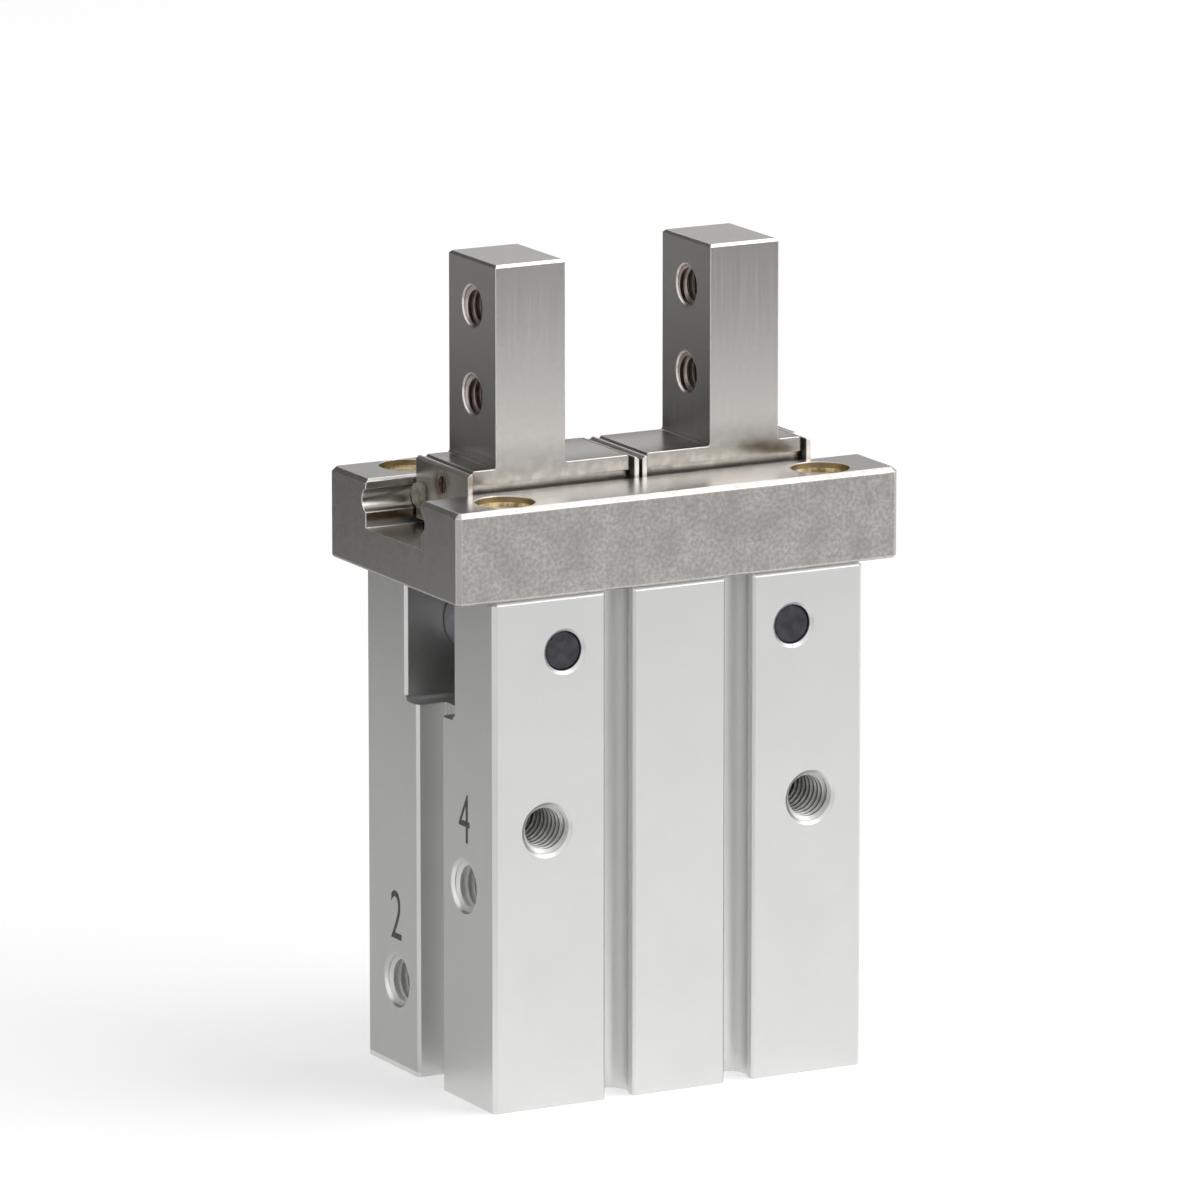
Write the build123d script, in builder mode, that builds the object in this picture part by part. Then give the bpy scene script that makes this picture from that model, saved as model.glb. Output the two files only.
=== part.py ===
from build123d import *
import math
import os

# Two-finger pneumatic parallel gripper, shown closed.
# Frame: +Z up, origin at the centre of the body's bottom face, X along the finger travel,
# -Y towards the wide face with the sensor grooves and the shaft ends. Millimetres.

# Cylinder body
body_width = 42.0
body_depth = 27.6
body_height = 52.2
body_edge = 0.4

# Guide rail block on top of the body
guide_length = 50.0
guide_height = 9.3
guide_proud = 0.1
guide_edge = 0.45
guide_under_edge = 0.2
channel_width = 12.0
channel_depth = 5.0
channel_edge = 0.25
guide_end_margin = 0.5

# Ball rows between the carriages and the channel walls
ball_diameter = 2.4
ball_clearance = 0.05
ball_inset = 0.4
ball_pitch = 2.9
ball_end_gap = 0.9
raceway_below_top = 2.2

# Finger bars and their attachment threads
finger_gap = 16.5
finger_thickness = 7.8
finger_width = 10.0
finger_height = 22.7
finger_edge = 0.25
finger_stroke = 5.0
foot_radius = 0.3
finger_thread = 4.0
finger_thread_mouth = 4.4
finger_thread_pitch = 9.0
finger_thread_from_top = 4.9

# Carriages, the lower part of each finger
carriage_above_guide = 2.15
carriage_flange = 1.5
carriage_edge = 0.15
carriage_undercut = 0.6
carriage_side_gap = 0.8
carriage_shoulder_drop = 0.6
carriage_floor_gap = 0.65
end_boss_width = 7.0
end_boss_drop = 0.6

# End plates that hold the balls in
stopper_gap = 0.4
stopper_thickness = 0.5
stopper_relief = 0.35
stopper_side_gap = 0.4
stopper_ear_gap = 0.15
stopper_top_drop = 0.15
stopper_edge = 0.3
stopper_screw = 1.0
stopper_screw_head = 1.8
stopper_screw_length = 2.6
stopper_screw_slot = 0.3
stopper_screw_slot_depth = 0.2

# Bell-crank levers, their shafts and rollers
pivot_from_side = 8.0
pivot_below_body_top = 5.7
shaft_diameter = 4.0
shaft_recess = 0.4
shaft_mouth = 4.7
shaft_edge = 0.2
hub_diameter = 7.4
hub_side_gap = 0.15
lever_thickness = 5.0
long_arm_root = 4.0
short_arm_root = 4.4
short_arm_tip = 2.6
knob_diameter = 3.8
roller_diameter = 4.0
roller_width = 2.2
roller_proud = 0.5
roller_side_gap = 0.1
roller_pin_diameter = 2.0
roller_seat = 1.6
roller_rim_gap = 0.35
roller_slot_side_gap = 0.06
roller_slot_end_gap = 0.15
roller_slot_top_gap = 0.65

# Lever chamber, a slot milled through the body from side to side
chamber_width = 10.4
chamber_edge = 0.3
chamber_corner = 0.5
chamber_floor_gap = 0.8
floor_slot_gap = 0.3
floor_slot_corner = 1.0

# Rod head that drives both levers
head_length = 11.2
head_depth = 9.6
head_web = 3.4
head_base = 3.3
head_flange = 1.5
head_edge = 0.4
knob_gap = 0.4
knob_slot_gap = 0.1
head_spigot_depth = 3.0
head_pin_diameter = 1.5
head_pin_recess = 0.2

# Piston and rod
bore_diameter = 20.0
piston_gap = 0.1
piston_flange = 5.2
piston_seal_width = 2.0
piston_seal_depth = 1.9
piston_seal_edge = 0.35
magnet_height = 1.9
magnet_gap = 1.0
washer_thickness = 0.7
piston_hub_diameter = 10.0
rod_diameter = 8.0
spigot_diameter = 5.0
nut_across_flats = 8.0
nut_height = 2.0
nut_pocket_diameter = 10.0

# Rod seal and bush in the partition between piston and levers
seal_outer_diameter = 13.0
seal_holder_height = 1.6
rod_seal_height = 3.0
rod_seal_lip = 0.9
bush_outer_diameter = 11.0
bush_length = 8.4
rod_relief = 0.2

# Rubber bumpers at both ends of the stroke
bumper_gap = 0.3
upper_bumper_thickness = 2.0
upper_bumper_diameter = 14.0
lower_bumper_thickness = 2.0
lower_bumper_diameter = 15.0
lower_bumper_hole = 6.0

# Bottom end: register, retaining ring, cap and gasket
register_diameter = 21.0
register_depth = 1.5
ring_shoulder = 0.45
ring_thickness = 1.1
ring_groove_depth = 0.75
ring_width = 1.6
ring_gap = 7.0
ring_lug = 2.8
ring_lug_hole = 1.3
ring_lug_sink = 0.7
cap_thickness = 3.7
cap_boss_height = 1.0
gasket_section = 1.7
gasket_edge = 0.4

# Air ports in the left side
port_thread = 5.0
port_mouth = 5.6
port_depth = 6.0
port_from_face = 6.45
port_passage = 2.5
passage_run_in = 1.0
lower_port_above_boss = 1.3
upper_port_below_partition = 1.75

# Mounting threads in the body
mount_thread = 5.0
mount_thread_mouth = 5.7
mount_thread_depth = 8.0
mount_thread_from_side = 6.0
mount_thread_height = 28.5
bottom_thread_depth = 6.0
bottom_thread_from_side = 5.0
bottom_thread_from_face = 3.8

# Sensor grooves in front and back, wide clearance grooves in both sides
sensor_groove_spacing = 13.64
sensor_groove_mouth = 3.15
sensor_groove_diameter = 3.9
sensor_groove_centre_depth = 2.2
sensor_groove_edge = 0.25
side_groove_width = 5.3
side_groove_depth = 3.2
side_groove_edge = 0.3

# Screws and dowels between guide and body
guide_screw = 3.0
guide_screw_head = 5.5
guide_screw_head_height = 3.0
guide_screw_head_edge = 0.25
guide_screw_socket = 2.5
guide_screw_socket_depth = 1.6
guide_screw_grip = 8.0
guide_screw_tail = 1.0
guide_screw_from_side = 3.1
guide_screw_from_face = 3.4
guide_screw_hole_gap = 0.1
counterbore_diameter = 6.0
counterbore_depth = 4.0
dowel_diameter = 2.5
dowel_length = 6.0
dowel_end_gap = 0.1
dowel_from_side = 9.0
dowel_from_face = 3.9

# Radial fits: parts that stay put, and parts that run on each other. Drill tip angle in degrees.
slip_fit = 0.02
running_fit = 0.05
drill_point = 118
pick_margin = 0.01

# Depth and hole patterns that follow from the body, measured in from its sides and wide faces
guide_depth = body_depth + 2 * guide_proud
port_offset = body_depth / 2 - port_from_face
mount_thread_x = body_width / 2 - mount_thread_from_side
bottom_spacing_x = body_width - 2 * bottom_thread_from_side
bottom_spacing_y = body_depth - 2 * bottom_thread_from_face
guide_screw_spacing_x = body_width - 2 * guide_screw_from_side
guide_screw_spacing_y = body_depth - 2 * guide_screw_from_face
dowel_x = body_width / 2 - dowel_from_side
dowel_y = body_depth / 2 - dowel_from_face

# Heights that follow from the sizes above
guide_top = body_height + guide_height
channel_floor = guide_top - channel_depth
raceway_height = guide_top - raceway_below_top
carriage_bottom = channel_floor + carriage_floor_gap
carriage_top = guide_top + carriage_above_guide
flange_bottom = carriage_top - carriage_flange
shoulder_height = guide_top - carriage_shoulder_drop
finger_top = guide_top + finger_height

# Half widths across the channel, from its wall inwards
ball_y = channel_width / 2 - ball_inset
raceway_radius = ball_diameter / 2 + ball_clearance
carriage_half_width = channel_width / 2 - carriage_side_gap
neck_half_width = finger_width / 2 - carriage_undercut

# Places along X on the right-hand side, which the left side mirrors
stopper_inner_x = stopper_gap / 2
carriage_inner_x = stopper_inner_x + stopper_thickness
stopper_outer_x = guide_length / 2 - guide_end_margin - finger_stroke
carriage_outer_x = stopper_outer_x - stopper_thickness
carriage_middle_x = (carriage_inner_x + carriage_outer_x) / 2
carriage_length = carriage_outer_x - carriage_inner_x
bar_middle_x = (finger_gap + finger_thickness) / 2
bar_ledge = carriage_outer_x - stopper_relief - bar_middle_x - finger_thickness / 2
foot_blend = min(foot_radius, bar_ledge / 2)

# The ball rows travel half as far as the fingers, so they start nearer the outer plates
ball_row_middle_x = carriage_middle_x + finger_stroke / 4
ball_row_room = carriage_length - finger_stroke / 2 - 2 * ball_end_gap
balls_per_row = 1 + round((ball_row_room - ball_diameter) / ball_pitch)

# Lever geometry: the roller swings from half the stroke on one side of upright to the other
pivot_x = body_width / 2 - pivot_from_side
pivot_z = body_height - pivot_below_body_top
roller_x = pivot_x - finger_stroke / 2
roller_z = carriage_bottom + roller_seat
roller_rise = roller_z - pivot_z
half_swing = math.atan(finger_stroke / 2 / roller_rise)
long_arm = roller_rise / math.cos(half_swing)
short_arm = pivot_x - head_web / 2 - knob_diameter / 2 - knob_gap
knob_z = pivot_z - short_arm * math.sin(half_swing)
piston_stroke = 2 * short_arm * math.sin(half_swing)
hub_length = chamber_width - 2 * hub_side_gap
arm_reach = (channel_floor - pivot_z) * math.tan(half_swing) + long_arm_root / 2 / math.cos(half_swing)

# Rod head when the fingers are closed
knob_slot_height = knob_diameter + 2 * knob_slot_gap
head_bottom = knob_z - knob_slot_height / 2 - head_base
head_top = knob_z + knob_slot_height / 2 + head_flange
head_pin_z = head_bottom + head_spigot_depth / 2
chamber_floor = head_bottom - chamber_floor_gap

# Stack in the bore from the bottom up
ring_bottom = register_depth + ring_shoulder
cap_bottom = ring_bottom + ring_thickness + running_fit
cap_top = cap_bottom + cap_thickness
cap_middle = (cap_bottom + cap_top) / 2
boss_top = cap_top + cap_boss_height
lower_bumper_top = boss_top + lower_bumper_thickness
piston_bottom = lower_bumper_top + bumper_gap
nut_pocket_top = piston_bottom + nut_height
flange_top = piston_bottom + piston_flange
magnet_top = flange_top + magnet_height
washer_top = magnet_top + washer_thickness
upper_bumper_bottom = washer_top + piston_stroke + bumper_gap
partition_bottom = upper_bumper_bottom + upper_bumper_thickness
holder_top = partition_bottom + seal_holder_height
rod_seal_top = holder_top + rod_seal_height
bush_top = rod_seal_top + bush_length
lower_port_z = boss_top + lower_port_above_boss
upper_port_z = partition_bottom - upper_port_below_partition
seal_middle = piston_bottom + piston_flange / 2

# Radii in the bore
bore_radius = bore_diameter / 2
piston_radius = bore_radius - piston_gap
piston_seal_floor = piston_radius - piston_seal_depth
ring_groove_radius = bore_radius + ring_groove_depth
gasket_floor = bore_radius - gasket_section - 2 * running_fit
rod_hole_radius = rod_diameter / 2 + rod_relief
spigot_hole_radius = spigot_diameter / 2 + slip_fit

sides = (("left", -1), ("right", 1))
dowel_places = ((-dowel_x, dowel_y), (dowel_x, -dowel_y))
os.makedirs("parts", exist_ok=True)


def save(piece, name):
    """Label a finished piece and write it to its own file."""
    piece.part.label = name
    export_step(piece.part, f"parts/{name}.step")


def lever_plane(sign):
    """Plane of a closed lever: local Y runs up its long arm, local -X along its short arm."""
    return Plane(
        origin=(sign * pivot_x, 0, pivot_z),
        x_dir=(sign * math.cos(half_swing), 0, math.sin(half_swing)),
        z_dir=(0, -sign, 0),
    )


def bevelled_slot(face, half_width, edge, floor):
    """Outline of a slot that enters a face at x = face and widens by a bevel at its mouth."""
    return (
        (face, half_width + edge),
        (face - edge, half_width),
        (floor, half_width),
        (floor, -half_width),
        (face - edge, -half_width),
        (face, -half_width - edge),
    )


def tapped_hole(thread, mouth, depth):
    """Cut a blind threaded hole with a bevelled mouth and a drill point at each location."""
    point = thread / 2 / math.tan(math.radians(drill_point / 2))
    CounterSinkHole(thread / 2, mouth / 2, depth, counter_sink_angle=90)
    with Locations((0, 0, -depth - point / 2)):
        Cone(0, thread / 2, point, mode=Mode.SUBTRACT)


def ring(outer, inner, bottom, height):
    """A plain ring about the Z axis, by its radii."""
    with BuildPart() as result:
        with BuildSketch(Plane.XY.offset(bottom)):
            Circle(outer)
            Circle(inner, mode=Mode.SUBTRACT)
        extrude(amount=height)
    return result


# Body: drawn profile with its grooves, lever chamber, bore, ports and threads
with BuildPart() as body:
    with BuildSketch() as outline:
        Rectangle(body_width, body_depth)
        chamfer(outline.vertices(), body_edge)
    extrude(amount=body_height)
    chamfer(body.faces().sort_by(Axis.Z)[-1].edges(), body_edge)
    # Round-bottomed sensor grooves, two in the front and two in the back
    with BuildSketch():
        for face in (-1, 1):
            for groove in (-1, 1):
                groove_face = Plane(
                    origin=(groove * sensor_groove_spacing / 2, 0, 0), x_dir=(0, face, 0), z_dir=(0, 0, 1)
                )
                with Locations(groove_face):
                    with Locations((body_depth / 2 - sensor_groove_centre_depth, 0)):
                        Circle(sensor_groove_diameter / 2)
                    Polygon(
                        *bevelled_slot(
                            body_depth / 2,
                            sensor_groove_mouth / 2,
                            sensor_groove_edge,
                            body_depth / 2 - sensor_groove_centre_depth,
                        ),
                        align=None,
                    )
    extrude(amount=body_height, mode=Mode.SUBTRACT)
    # Square clearance grooves in both sides
    with BuildSketch():
        Polygon(
            *bevelled_slot(
                body_width / 2, side_groove_width / 2, side_groove_edge, body_width / 2 - side_groove_depth
            ),
            align=None,
        )
        mirror(about=Plane.YZ)
    extrude(amount=body_height, mode=Mode.SUBTRACT)
    # Lever chamber, open at both sides and at the top, with rounded bottom corners
    with BuildSketch(Plane.YZ):
        with Locations((0, (chamber_floor + body_height + chamber_corner) / 2)):
            RectangleRounded(chamber_width, body_height + chamber_corner - chamber_floor, chamber_corner)
    extrude(amount=body_width / 2, both=True, mode=Mode.SUBTRACT)
    with BuildSketch(Plane.XY.offset(chamber_floor + chamber_corner)):
        Polygon(
            *bevelled_slot(
                body_width / 2, chamber_width / 2, chamber_edge, body_width / 2 - 2 * chamber_edge
            ),
            align=None,
        )
        mirror(about=Plane.YZ)
    extrude(amount=body_height, mode=Mode.SUBTRACT)
    # Register, ring groove, bore, seal pocket, bush seat and rod hole
    with BuildSketch(Plane.XZ):
        with BuildLine():
            Polyline(
                (0, 0),
                (register_diameter / 2, 0),
                (register_diameter / 2, register_depth),
                (bore_radius, register_depth),
                (bore_radius, ring_bottom - running_fit),
                (ring_groove_radius, ring_bottom - running_fit),
                (ring_groove_radius, ring_bottom + ring_thickness + running_fit),
                (bore_radius, ring_bottom + ring_thickness + running_fit),
                (bore_radius, partition_bottom),
                (seal_outer_diameter / 2, partition_bottom),
                (seal_outer_diameter / 2, rod_seal_top),
                (bush_outer_diameter / 2, rod_seal_top),
                (bush_outer_diameter / 2, bush_top),
                (rod_hole_radius, bush_top),
                (rod_hole_radius, chamber_floor),
                (0, chamber_floor),
                close=True,
            )
        make_face()
    revolve(axis=Axis.Z, mode=Mode.SUBTRACT)
    # Air ports: a thread from the left side, then a narrow passage into the bore
    bore_wall_x = math.sqrt(bore_radius**2 - port_offset**2)
    for port_y, port_z in ((-port_offset, upper_port_z), (port_offset, lower_port_z)):
        port_face = Plane(origin=(-body_width / 2, port_y, port_z), x_dir=(0, 1, 0), z_dir=(-1, 0, 0))
        with Locations(port_face):
            tapped_hole(port_thread, port_mouth, port_depth)
            Hole(port_passage / 2, body_width / 2 - bore_wall_x + passage_run_in)
    # Mounting threads and shaft holes in the front and the back
    for face in (-1, 1):
        for sign in (-1, 1):
            wide_face = Plane(
                origin=(sign * mount_thread_x, face * body_depth / 2, mount_thread_height),
                x_dir=(1, 0, 0),
                z_dir=(0, face, 0),
            )
            with Locations(wide_face):
                tapped_hole(mount_thread, mount_thread_mouth, mount_thread_depth)
            shaft_face = Plane(
                origin=(sign * pivot_x, face * body_depth / 2, pivot_z), x_dir=(1, 0, 0), z_dir=(0, face, 0)
            )
            with Locations(shaft_face):
                CounterSinkHole(
                    shaft_diameter / 2 + slip_fit, shaft_mouth / 2, body_depth / 2, counter_sink_angle=90
                )
    # Mounting threads in the bottom
    with Locations(Plane(origin=(0, 0, 0), z_dir=(0, 0, -1))):
        with GridLocations(bottom_spacing_x, bottom_spacing_y, 2, 2):
            tapped_hole(mount_thread, mount_thread_mouth, bottom_thread_depth)
    # Threads and dowel holes under the guide
    with Locations(Plane.XY.offset(body_height)):
        with GridLocations(guide_screw_spacing_x, guide_screw_spacing_y, 2, 2):
            Hole(guide_screw / 2 + slip_fit, guide_screw_grip + guide_screw_tail)
        with Locations(*dowel_places):
            Hole(dowel_diameter / 2 + slip_fit, dowel_length / 2 + dowel_end_gap)
save(body, "body")

# Guide: block with the finger channel, both raceways and a floor slot for each lever
with BuildPart() as guide:
    with BuildSketch(Plane.XY.offset(body_height)) as plan:
        Rectangle(guide_length, guide_depth)
        chamfer(plan.vertices(), guide_edge)
    extrude(amount=guide_height)
    chamfer(guide.faces().sort_by(Axis.Z)[-1].edges(), guide_edge)
    chamfer(guide.faces().sort_by(Axis.Z)[0].edges(), guide_under_edge)
    with BuildSketch(Plane.YZ):
        with Locations(Plane(origin=(0, 0, 0), x_dir=(0, 1, 0), z_dir=(0, 0, 1))):
            Polygon(*bevelled_slot(guide_top, channel_width / 2, channel_edge, channel_floor), align=None)
        with Locations((-ball_y, raceway_height), (ball_y, raceway_height)):
            Circle(raceway_radius)
    extrude(amount=guide_length / 2, both=True, mode=Mode.SUBTRACT)
    with BuildSketch(Plane.XY.offset(body_height)):
        with Locations((-pivot_x, 0), (pivot_x, 0)):
            RectangleRounded(
                2 * (arm_reach + floor_slot_gap), lever_thickness + 2 * floor_slot_gap, floor_slot_corner
            )
    extrude(amount=channel_floor - body_height, mode=Mode.SUBTRACT)
    with Locations(Plane.XY.offset(guide_top)):
        with GridLocations(guide_screw_spacing_x, guide_screw_spacing_y, 2, 2):
            CounterBoreHole(
                guide_screw / 2 + guide_screw_hole_gap,
                counterbore_diameter / 2,
                counterbore_depth,
                guide_height,
            )
    with BuildSketch(Plane.XY.offset(body_height)):
        with Locations(*dowel_places):
            Circle(dowel_diameter / 2 + slip_fit)
    extrude(amount=dowel_length / 2 + dowel_end_gap, mode=Mode.SUBTRACT)
save(guide, "guide")

# Four socket head screws that hold the guide down
with BuildPart() as guide_screws:
    screw_seat = guide_top - counterbore_depth
    with BuildSketch(Plane.XY.offset(screw_seat)):
        with GridLocations(guide_screw_spacing_x, guide_screw_spacing_y, 2, 2):
            Circle(guide_screw_head / 2)
    extrude(amount=guide_screw_head_height)
    chamfer(guide_screws.faces().filter_by(Axis.Z).group_by(Axis.Z)[-1].edges(), guide_screw_head_edge)
    with BuildSketch(Plane.XY.offset(screw_seat)):
        with GridLocations(guide_screw_spacing_x, guide_screw_spacing_y, 2, 2):
            Circle(guide_screw / 2)
    extrude(amount=body_height - screw_seat - guide_screw_grip)
    with BuildSketch(Plane.XY.offset(screw_seat + guide_screw_head_height)):
        with GridLocations(guide_screw_spacing_x, guide_screw_spacing_y, 2, 2):
            RegularPolygon(guide_screw_socket / 2, 6, major_radius=False)
    extrude(amount=-guide_screw_socket_depth, mode=Mode.SUBTRACT)
save(guide_screws, "guide_screws")

# Two dowels that line the guide up with the body
with BuildPart() as guide_dowels:
    with BuildSketch(Plane.XY.offset(body_height - dowel_length / 2)):
        with Locations(*dowel_places):
            Circle(dowel_diameter / 2)
    extrude(amount=dowel_length)
save(guide_dowels, "guide_dowels")

# End cap with its gasket groove and the boss that carries the lower bumper
with BuildPart() as end_cap:
    with BuildSketch(Plane.XZ):
        with BuildLine():
            groove_half = gasket_section / 2 + running_fit
            Polyline(
                (0, cap_bottom),
                (piston_radius, cap_bottom),
                (piston_radius, cap_middle - groove_half),
                (gasket_floor, cap_middle - groove_half),
                (gasket_floor, cap_middle + groove_half),
                (piston_radius, cap_middle + groove_half),
                (piston_radius, cap_top),
                (lower_bumper_diameter / 2, cap_top),
                (lower_bumper_diameter / 2, boss_top),
                (0, boss_top),
                close=True,
            )
        make_face()
    revolve(axis=Axis.Z)
save(end_cap, "end_cap")

with BuildPart() as cap_gasket:
    with BuildSketch(Plane.XZ) as gasket_profile:
        with Locations((gasket_floor + running_fit + gasket_section / 2, cap_middle)):
            Rectangle(gasket_section, gasket_section)
        chamfer(gasket_profile.vertices(), gasket_edge)
    revolve(axis=Axis.Z)
save(cap_gasket, "cap_gasket")

# Internal retaining ring with two lugs beside its gap
with BuildPart() as retaining_ring:
    ring_radius = ring_groove_radius - running_fit
    lug_x = ring_gap / 2 + ring_lug / 2
    lug_y = math.sqrt((ring_radius - ring_width) ** 2 - lug_x**2) - ring_lug_sink
    with BuildSketch(Plane.XY.offset(ring_bottom)):
        Circle(ring_radius)
        Circle(ring_radius - ring_width, mode=Mode.SUBTRACT)
        with Locations((0, ring_radius)):
            Rectangle(ring_gap, ring_radius, mode=Mode.SUBTRACT)
        with Locations((-lug_x, lug_y), (lug_x, lug_y)):
            Circle(ring_lug / 2)
            Circle(ring_lug_hole / 2, mode=Mode.SUBTRACT)
    extrude(amount=ring_thickness)
save(retaining_ring, "retaining_ring")

# Bumpers on the cap and under the partition
lower_bumper = ring(lower_bumper_diameter / 2, lower_bumper_hole / 2, boss_top, lower_bumper_thickness)
save(lower_bumper, "lower_bumper")
upper_bumper = ring(upper_bumper_diameter / 2, rod_hole_radius, upper_bumper_bottom, upper_bumper_thickness)
save(upper_bumper, "upper_bumper")

# Rod seal, the ring that holds it, and the bush above it
seal_fit_radius = seal_outer_diameter / 2 - slip_fit
seal_holder = ring(seal_fit_radius, rod_hole_radius, partition_bottom, seal_holder_height)
save(seal_holder, "seal_holder")

with BuildPart() as rod_seal:
    with BuildSketch(Plane.XZ):
        with BuildLine():
            seal_inner = rod_diameter / 2 + running_fit
            notch_middle = (seal_inner + seal_fit_radius) / 2
            Polyline(
                (seal_inner, holder_top),
                (seal_inner, rod_seal_top),
                (seal_fit_radius, rod_seal_top),
                (seal_fit_radius, holder_top),
                (seal_fit_radius - rod_seal_lip, holder_top),
                (notch_middle, (holder_top + rod_seal_top) / 2),
                (seal_inner + rod_seal_lip, holder_top),
                close=True,
            )
        make_face()
    revolve(axis=Axis.Z)
save(rod_seal, "rod_seal")

rod_bush = ring(bush_outer_diameter / 2 - slip_fit, rod_diameter / 2 + running_fit, rod_seal_top, bush_length)
save(rod_bush, "rod_bush")

# Piston: flange with the seal groove, hub for the magnet, pocket for the nut
with BuildPart() as piston:
    with BuildSketch(Plane.XZ):
        with BuildLine():
            Polyline(
                (spigot_hole_radius, nut_pocket_top),
                (nut_pocket_diameter / 2, nut_pocket_top),
                (nut_pocket_diameter / 2, piston_bottom),
                (piston_radius, piston_bottom),
                (piston_radius, seal_middle - piston_seal_width / 2),
                (piston_seal_floor, seal_middle - piston_seal_width / 2),
                (piston_seal_floor, seal_middle + piston_seal_width / 2),
                (piston_radius, seal_middle + piston_seal_width / 2),
                (piston_radius, flange_top),
                (piston_hub_diameter / 2, flange_top),
                (piston_hub_diameter / 2, magnet_top),
                (spigot_hole_radius, magnet_top),
                close=True,
            )
        make_face()
    revolve(axis=Axis.Z)
save(piston, "piston")

with BuildPart() as piston_seal:
    seal_inner_radius = piston_seal_floor + running_fit
    seal_outer_radius = bore_radius - running_fit
    with BuildSketch(Plane.XZ) as seal_section:
        with Locations(((seal_inner_radius + seal_outer_radius) / 2, seal_middle)):
            Rectangle(seal_outer_radius - seal_inner_radius, piston_seal_width - 2 * running_fit)
        chamfer(seal_section.vertices(), piston_seal_edge)
    revolve(axis=Axis.Z)
save(piston_seal, "piston_seal")

magnet_ring = ring(bore_radius - magnet_gap, piston_hub_diameter / 2 + slip_fit, flange_top, magnet_height)
save(magnet_ring, "magnet_ring")
magnet_washer = ring(bore_radius - magnet_gap, spigot_hole_radius, magnet_top, washer_thickness)
save(magnet_washer, "magnet_washer")

with BuildPart() as piston_nut:
    with BuildSketch(Plane.XY.offset(piston_bottom)):
        RegularPolygon(nut_across_flats / 2, 6, major_radius=False)
        Circle(spigot_hole_radius, mode=Mode.SUBTRACT)
    extrude(amount=nut_height)
save(piston_nut, "piston_nut")

# Piston rod: spigot through the piston, plain rod, spigot into the rod head
with BuildPart() as piston_rod:
    with BuildSketch(Plane.XZ):
        with BuildLine():
            Polyline(
                (0, piston_bottom),
                (spigot_diameter / 2, piston_bottom),
                (spigot_diameter / 2, washer_top),
                (rod_diameter / 2, washer_top),
                (rod_diameter / 2, head_bottom),
                (spigot_diameter / 2, head_bottom),
                (spigot_diameter / 2, head_bottom + head_spigot_depth),
                (0, head_bottom + head_spigot_depth),
                close=True,
            )
        make_face()
    revolve(axis=Axis.Z)
    with Locations(Plane(origin=(0, 0, head_pin_z), z_dir=(0, -1, 0))):
        Cylinder(head_pin_diameter / 2 + slip_fit, rod_diameter, mode=Mode.SUBTRACT)
save(piston_rod, "piston_rod")

# Rod head: a block with a slot on each side that takes a lever's knob
with BuildPart() as rod_head:
    with BuildSketch(Plane.XZ):
        with Locations((0, (head_bottom + head_top) / 2)):
            Rectangle(head_length, head_top - head_bottom)
        slot_middle = (head_length + head_web) / 4
        with Locations((-slot_middle, knob_z), (slot_middle, knob_z)):
            Rectangle((head_length - head_web) / 2, knob_slot_height, mode=Mode.SUBTRACT)
    extrude(amount=head_depth / 2, both=True)
    chamfer(rod_head.edges().filter_by(Axis.Z).group_by(Axis.X)[0], head_edge)
    chamfer(rod_head.edges().filter_by(Axis.Z).group_by(Axis.X)[-1], head_edge)
    with Locations(Plane(origin=(0, 0, head_bottom), z_dir=(0, 0, -1))):
        Hole(spigot_hole_radius, head_spigot_depth)
    with Locations(Plane(origin=(0, 0, head_pin_z), z_dir=(0, -1, 0))):
        Cylinder(head_pin_diameter / 2 + slip_fit, head_depth, mode=Mode.SUBTRACT)
save(rod_head, "rod_head")

with BuildPart() as rod_head_pin:
    with Locations(Plane(origin=(0, 0, head_pin_z), z_dir=(0, -1, 0))):
        Cylinder(head_pin_diameter / 2, head_depth - 2 * head_pin_recess)
save(rod_head_pin, "rod_head_pin")

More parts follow.
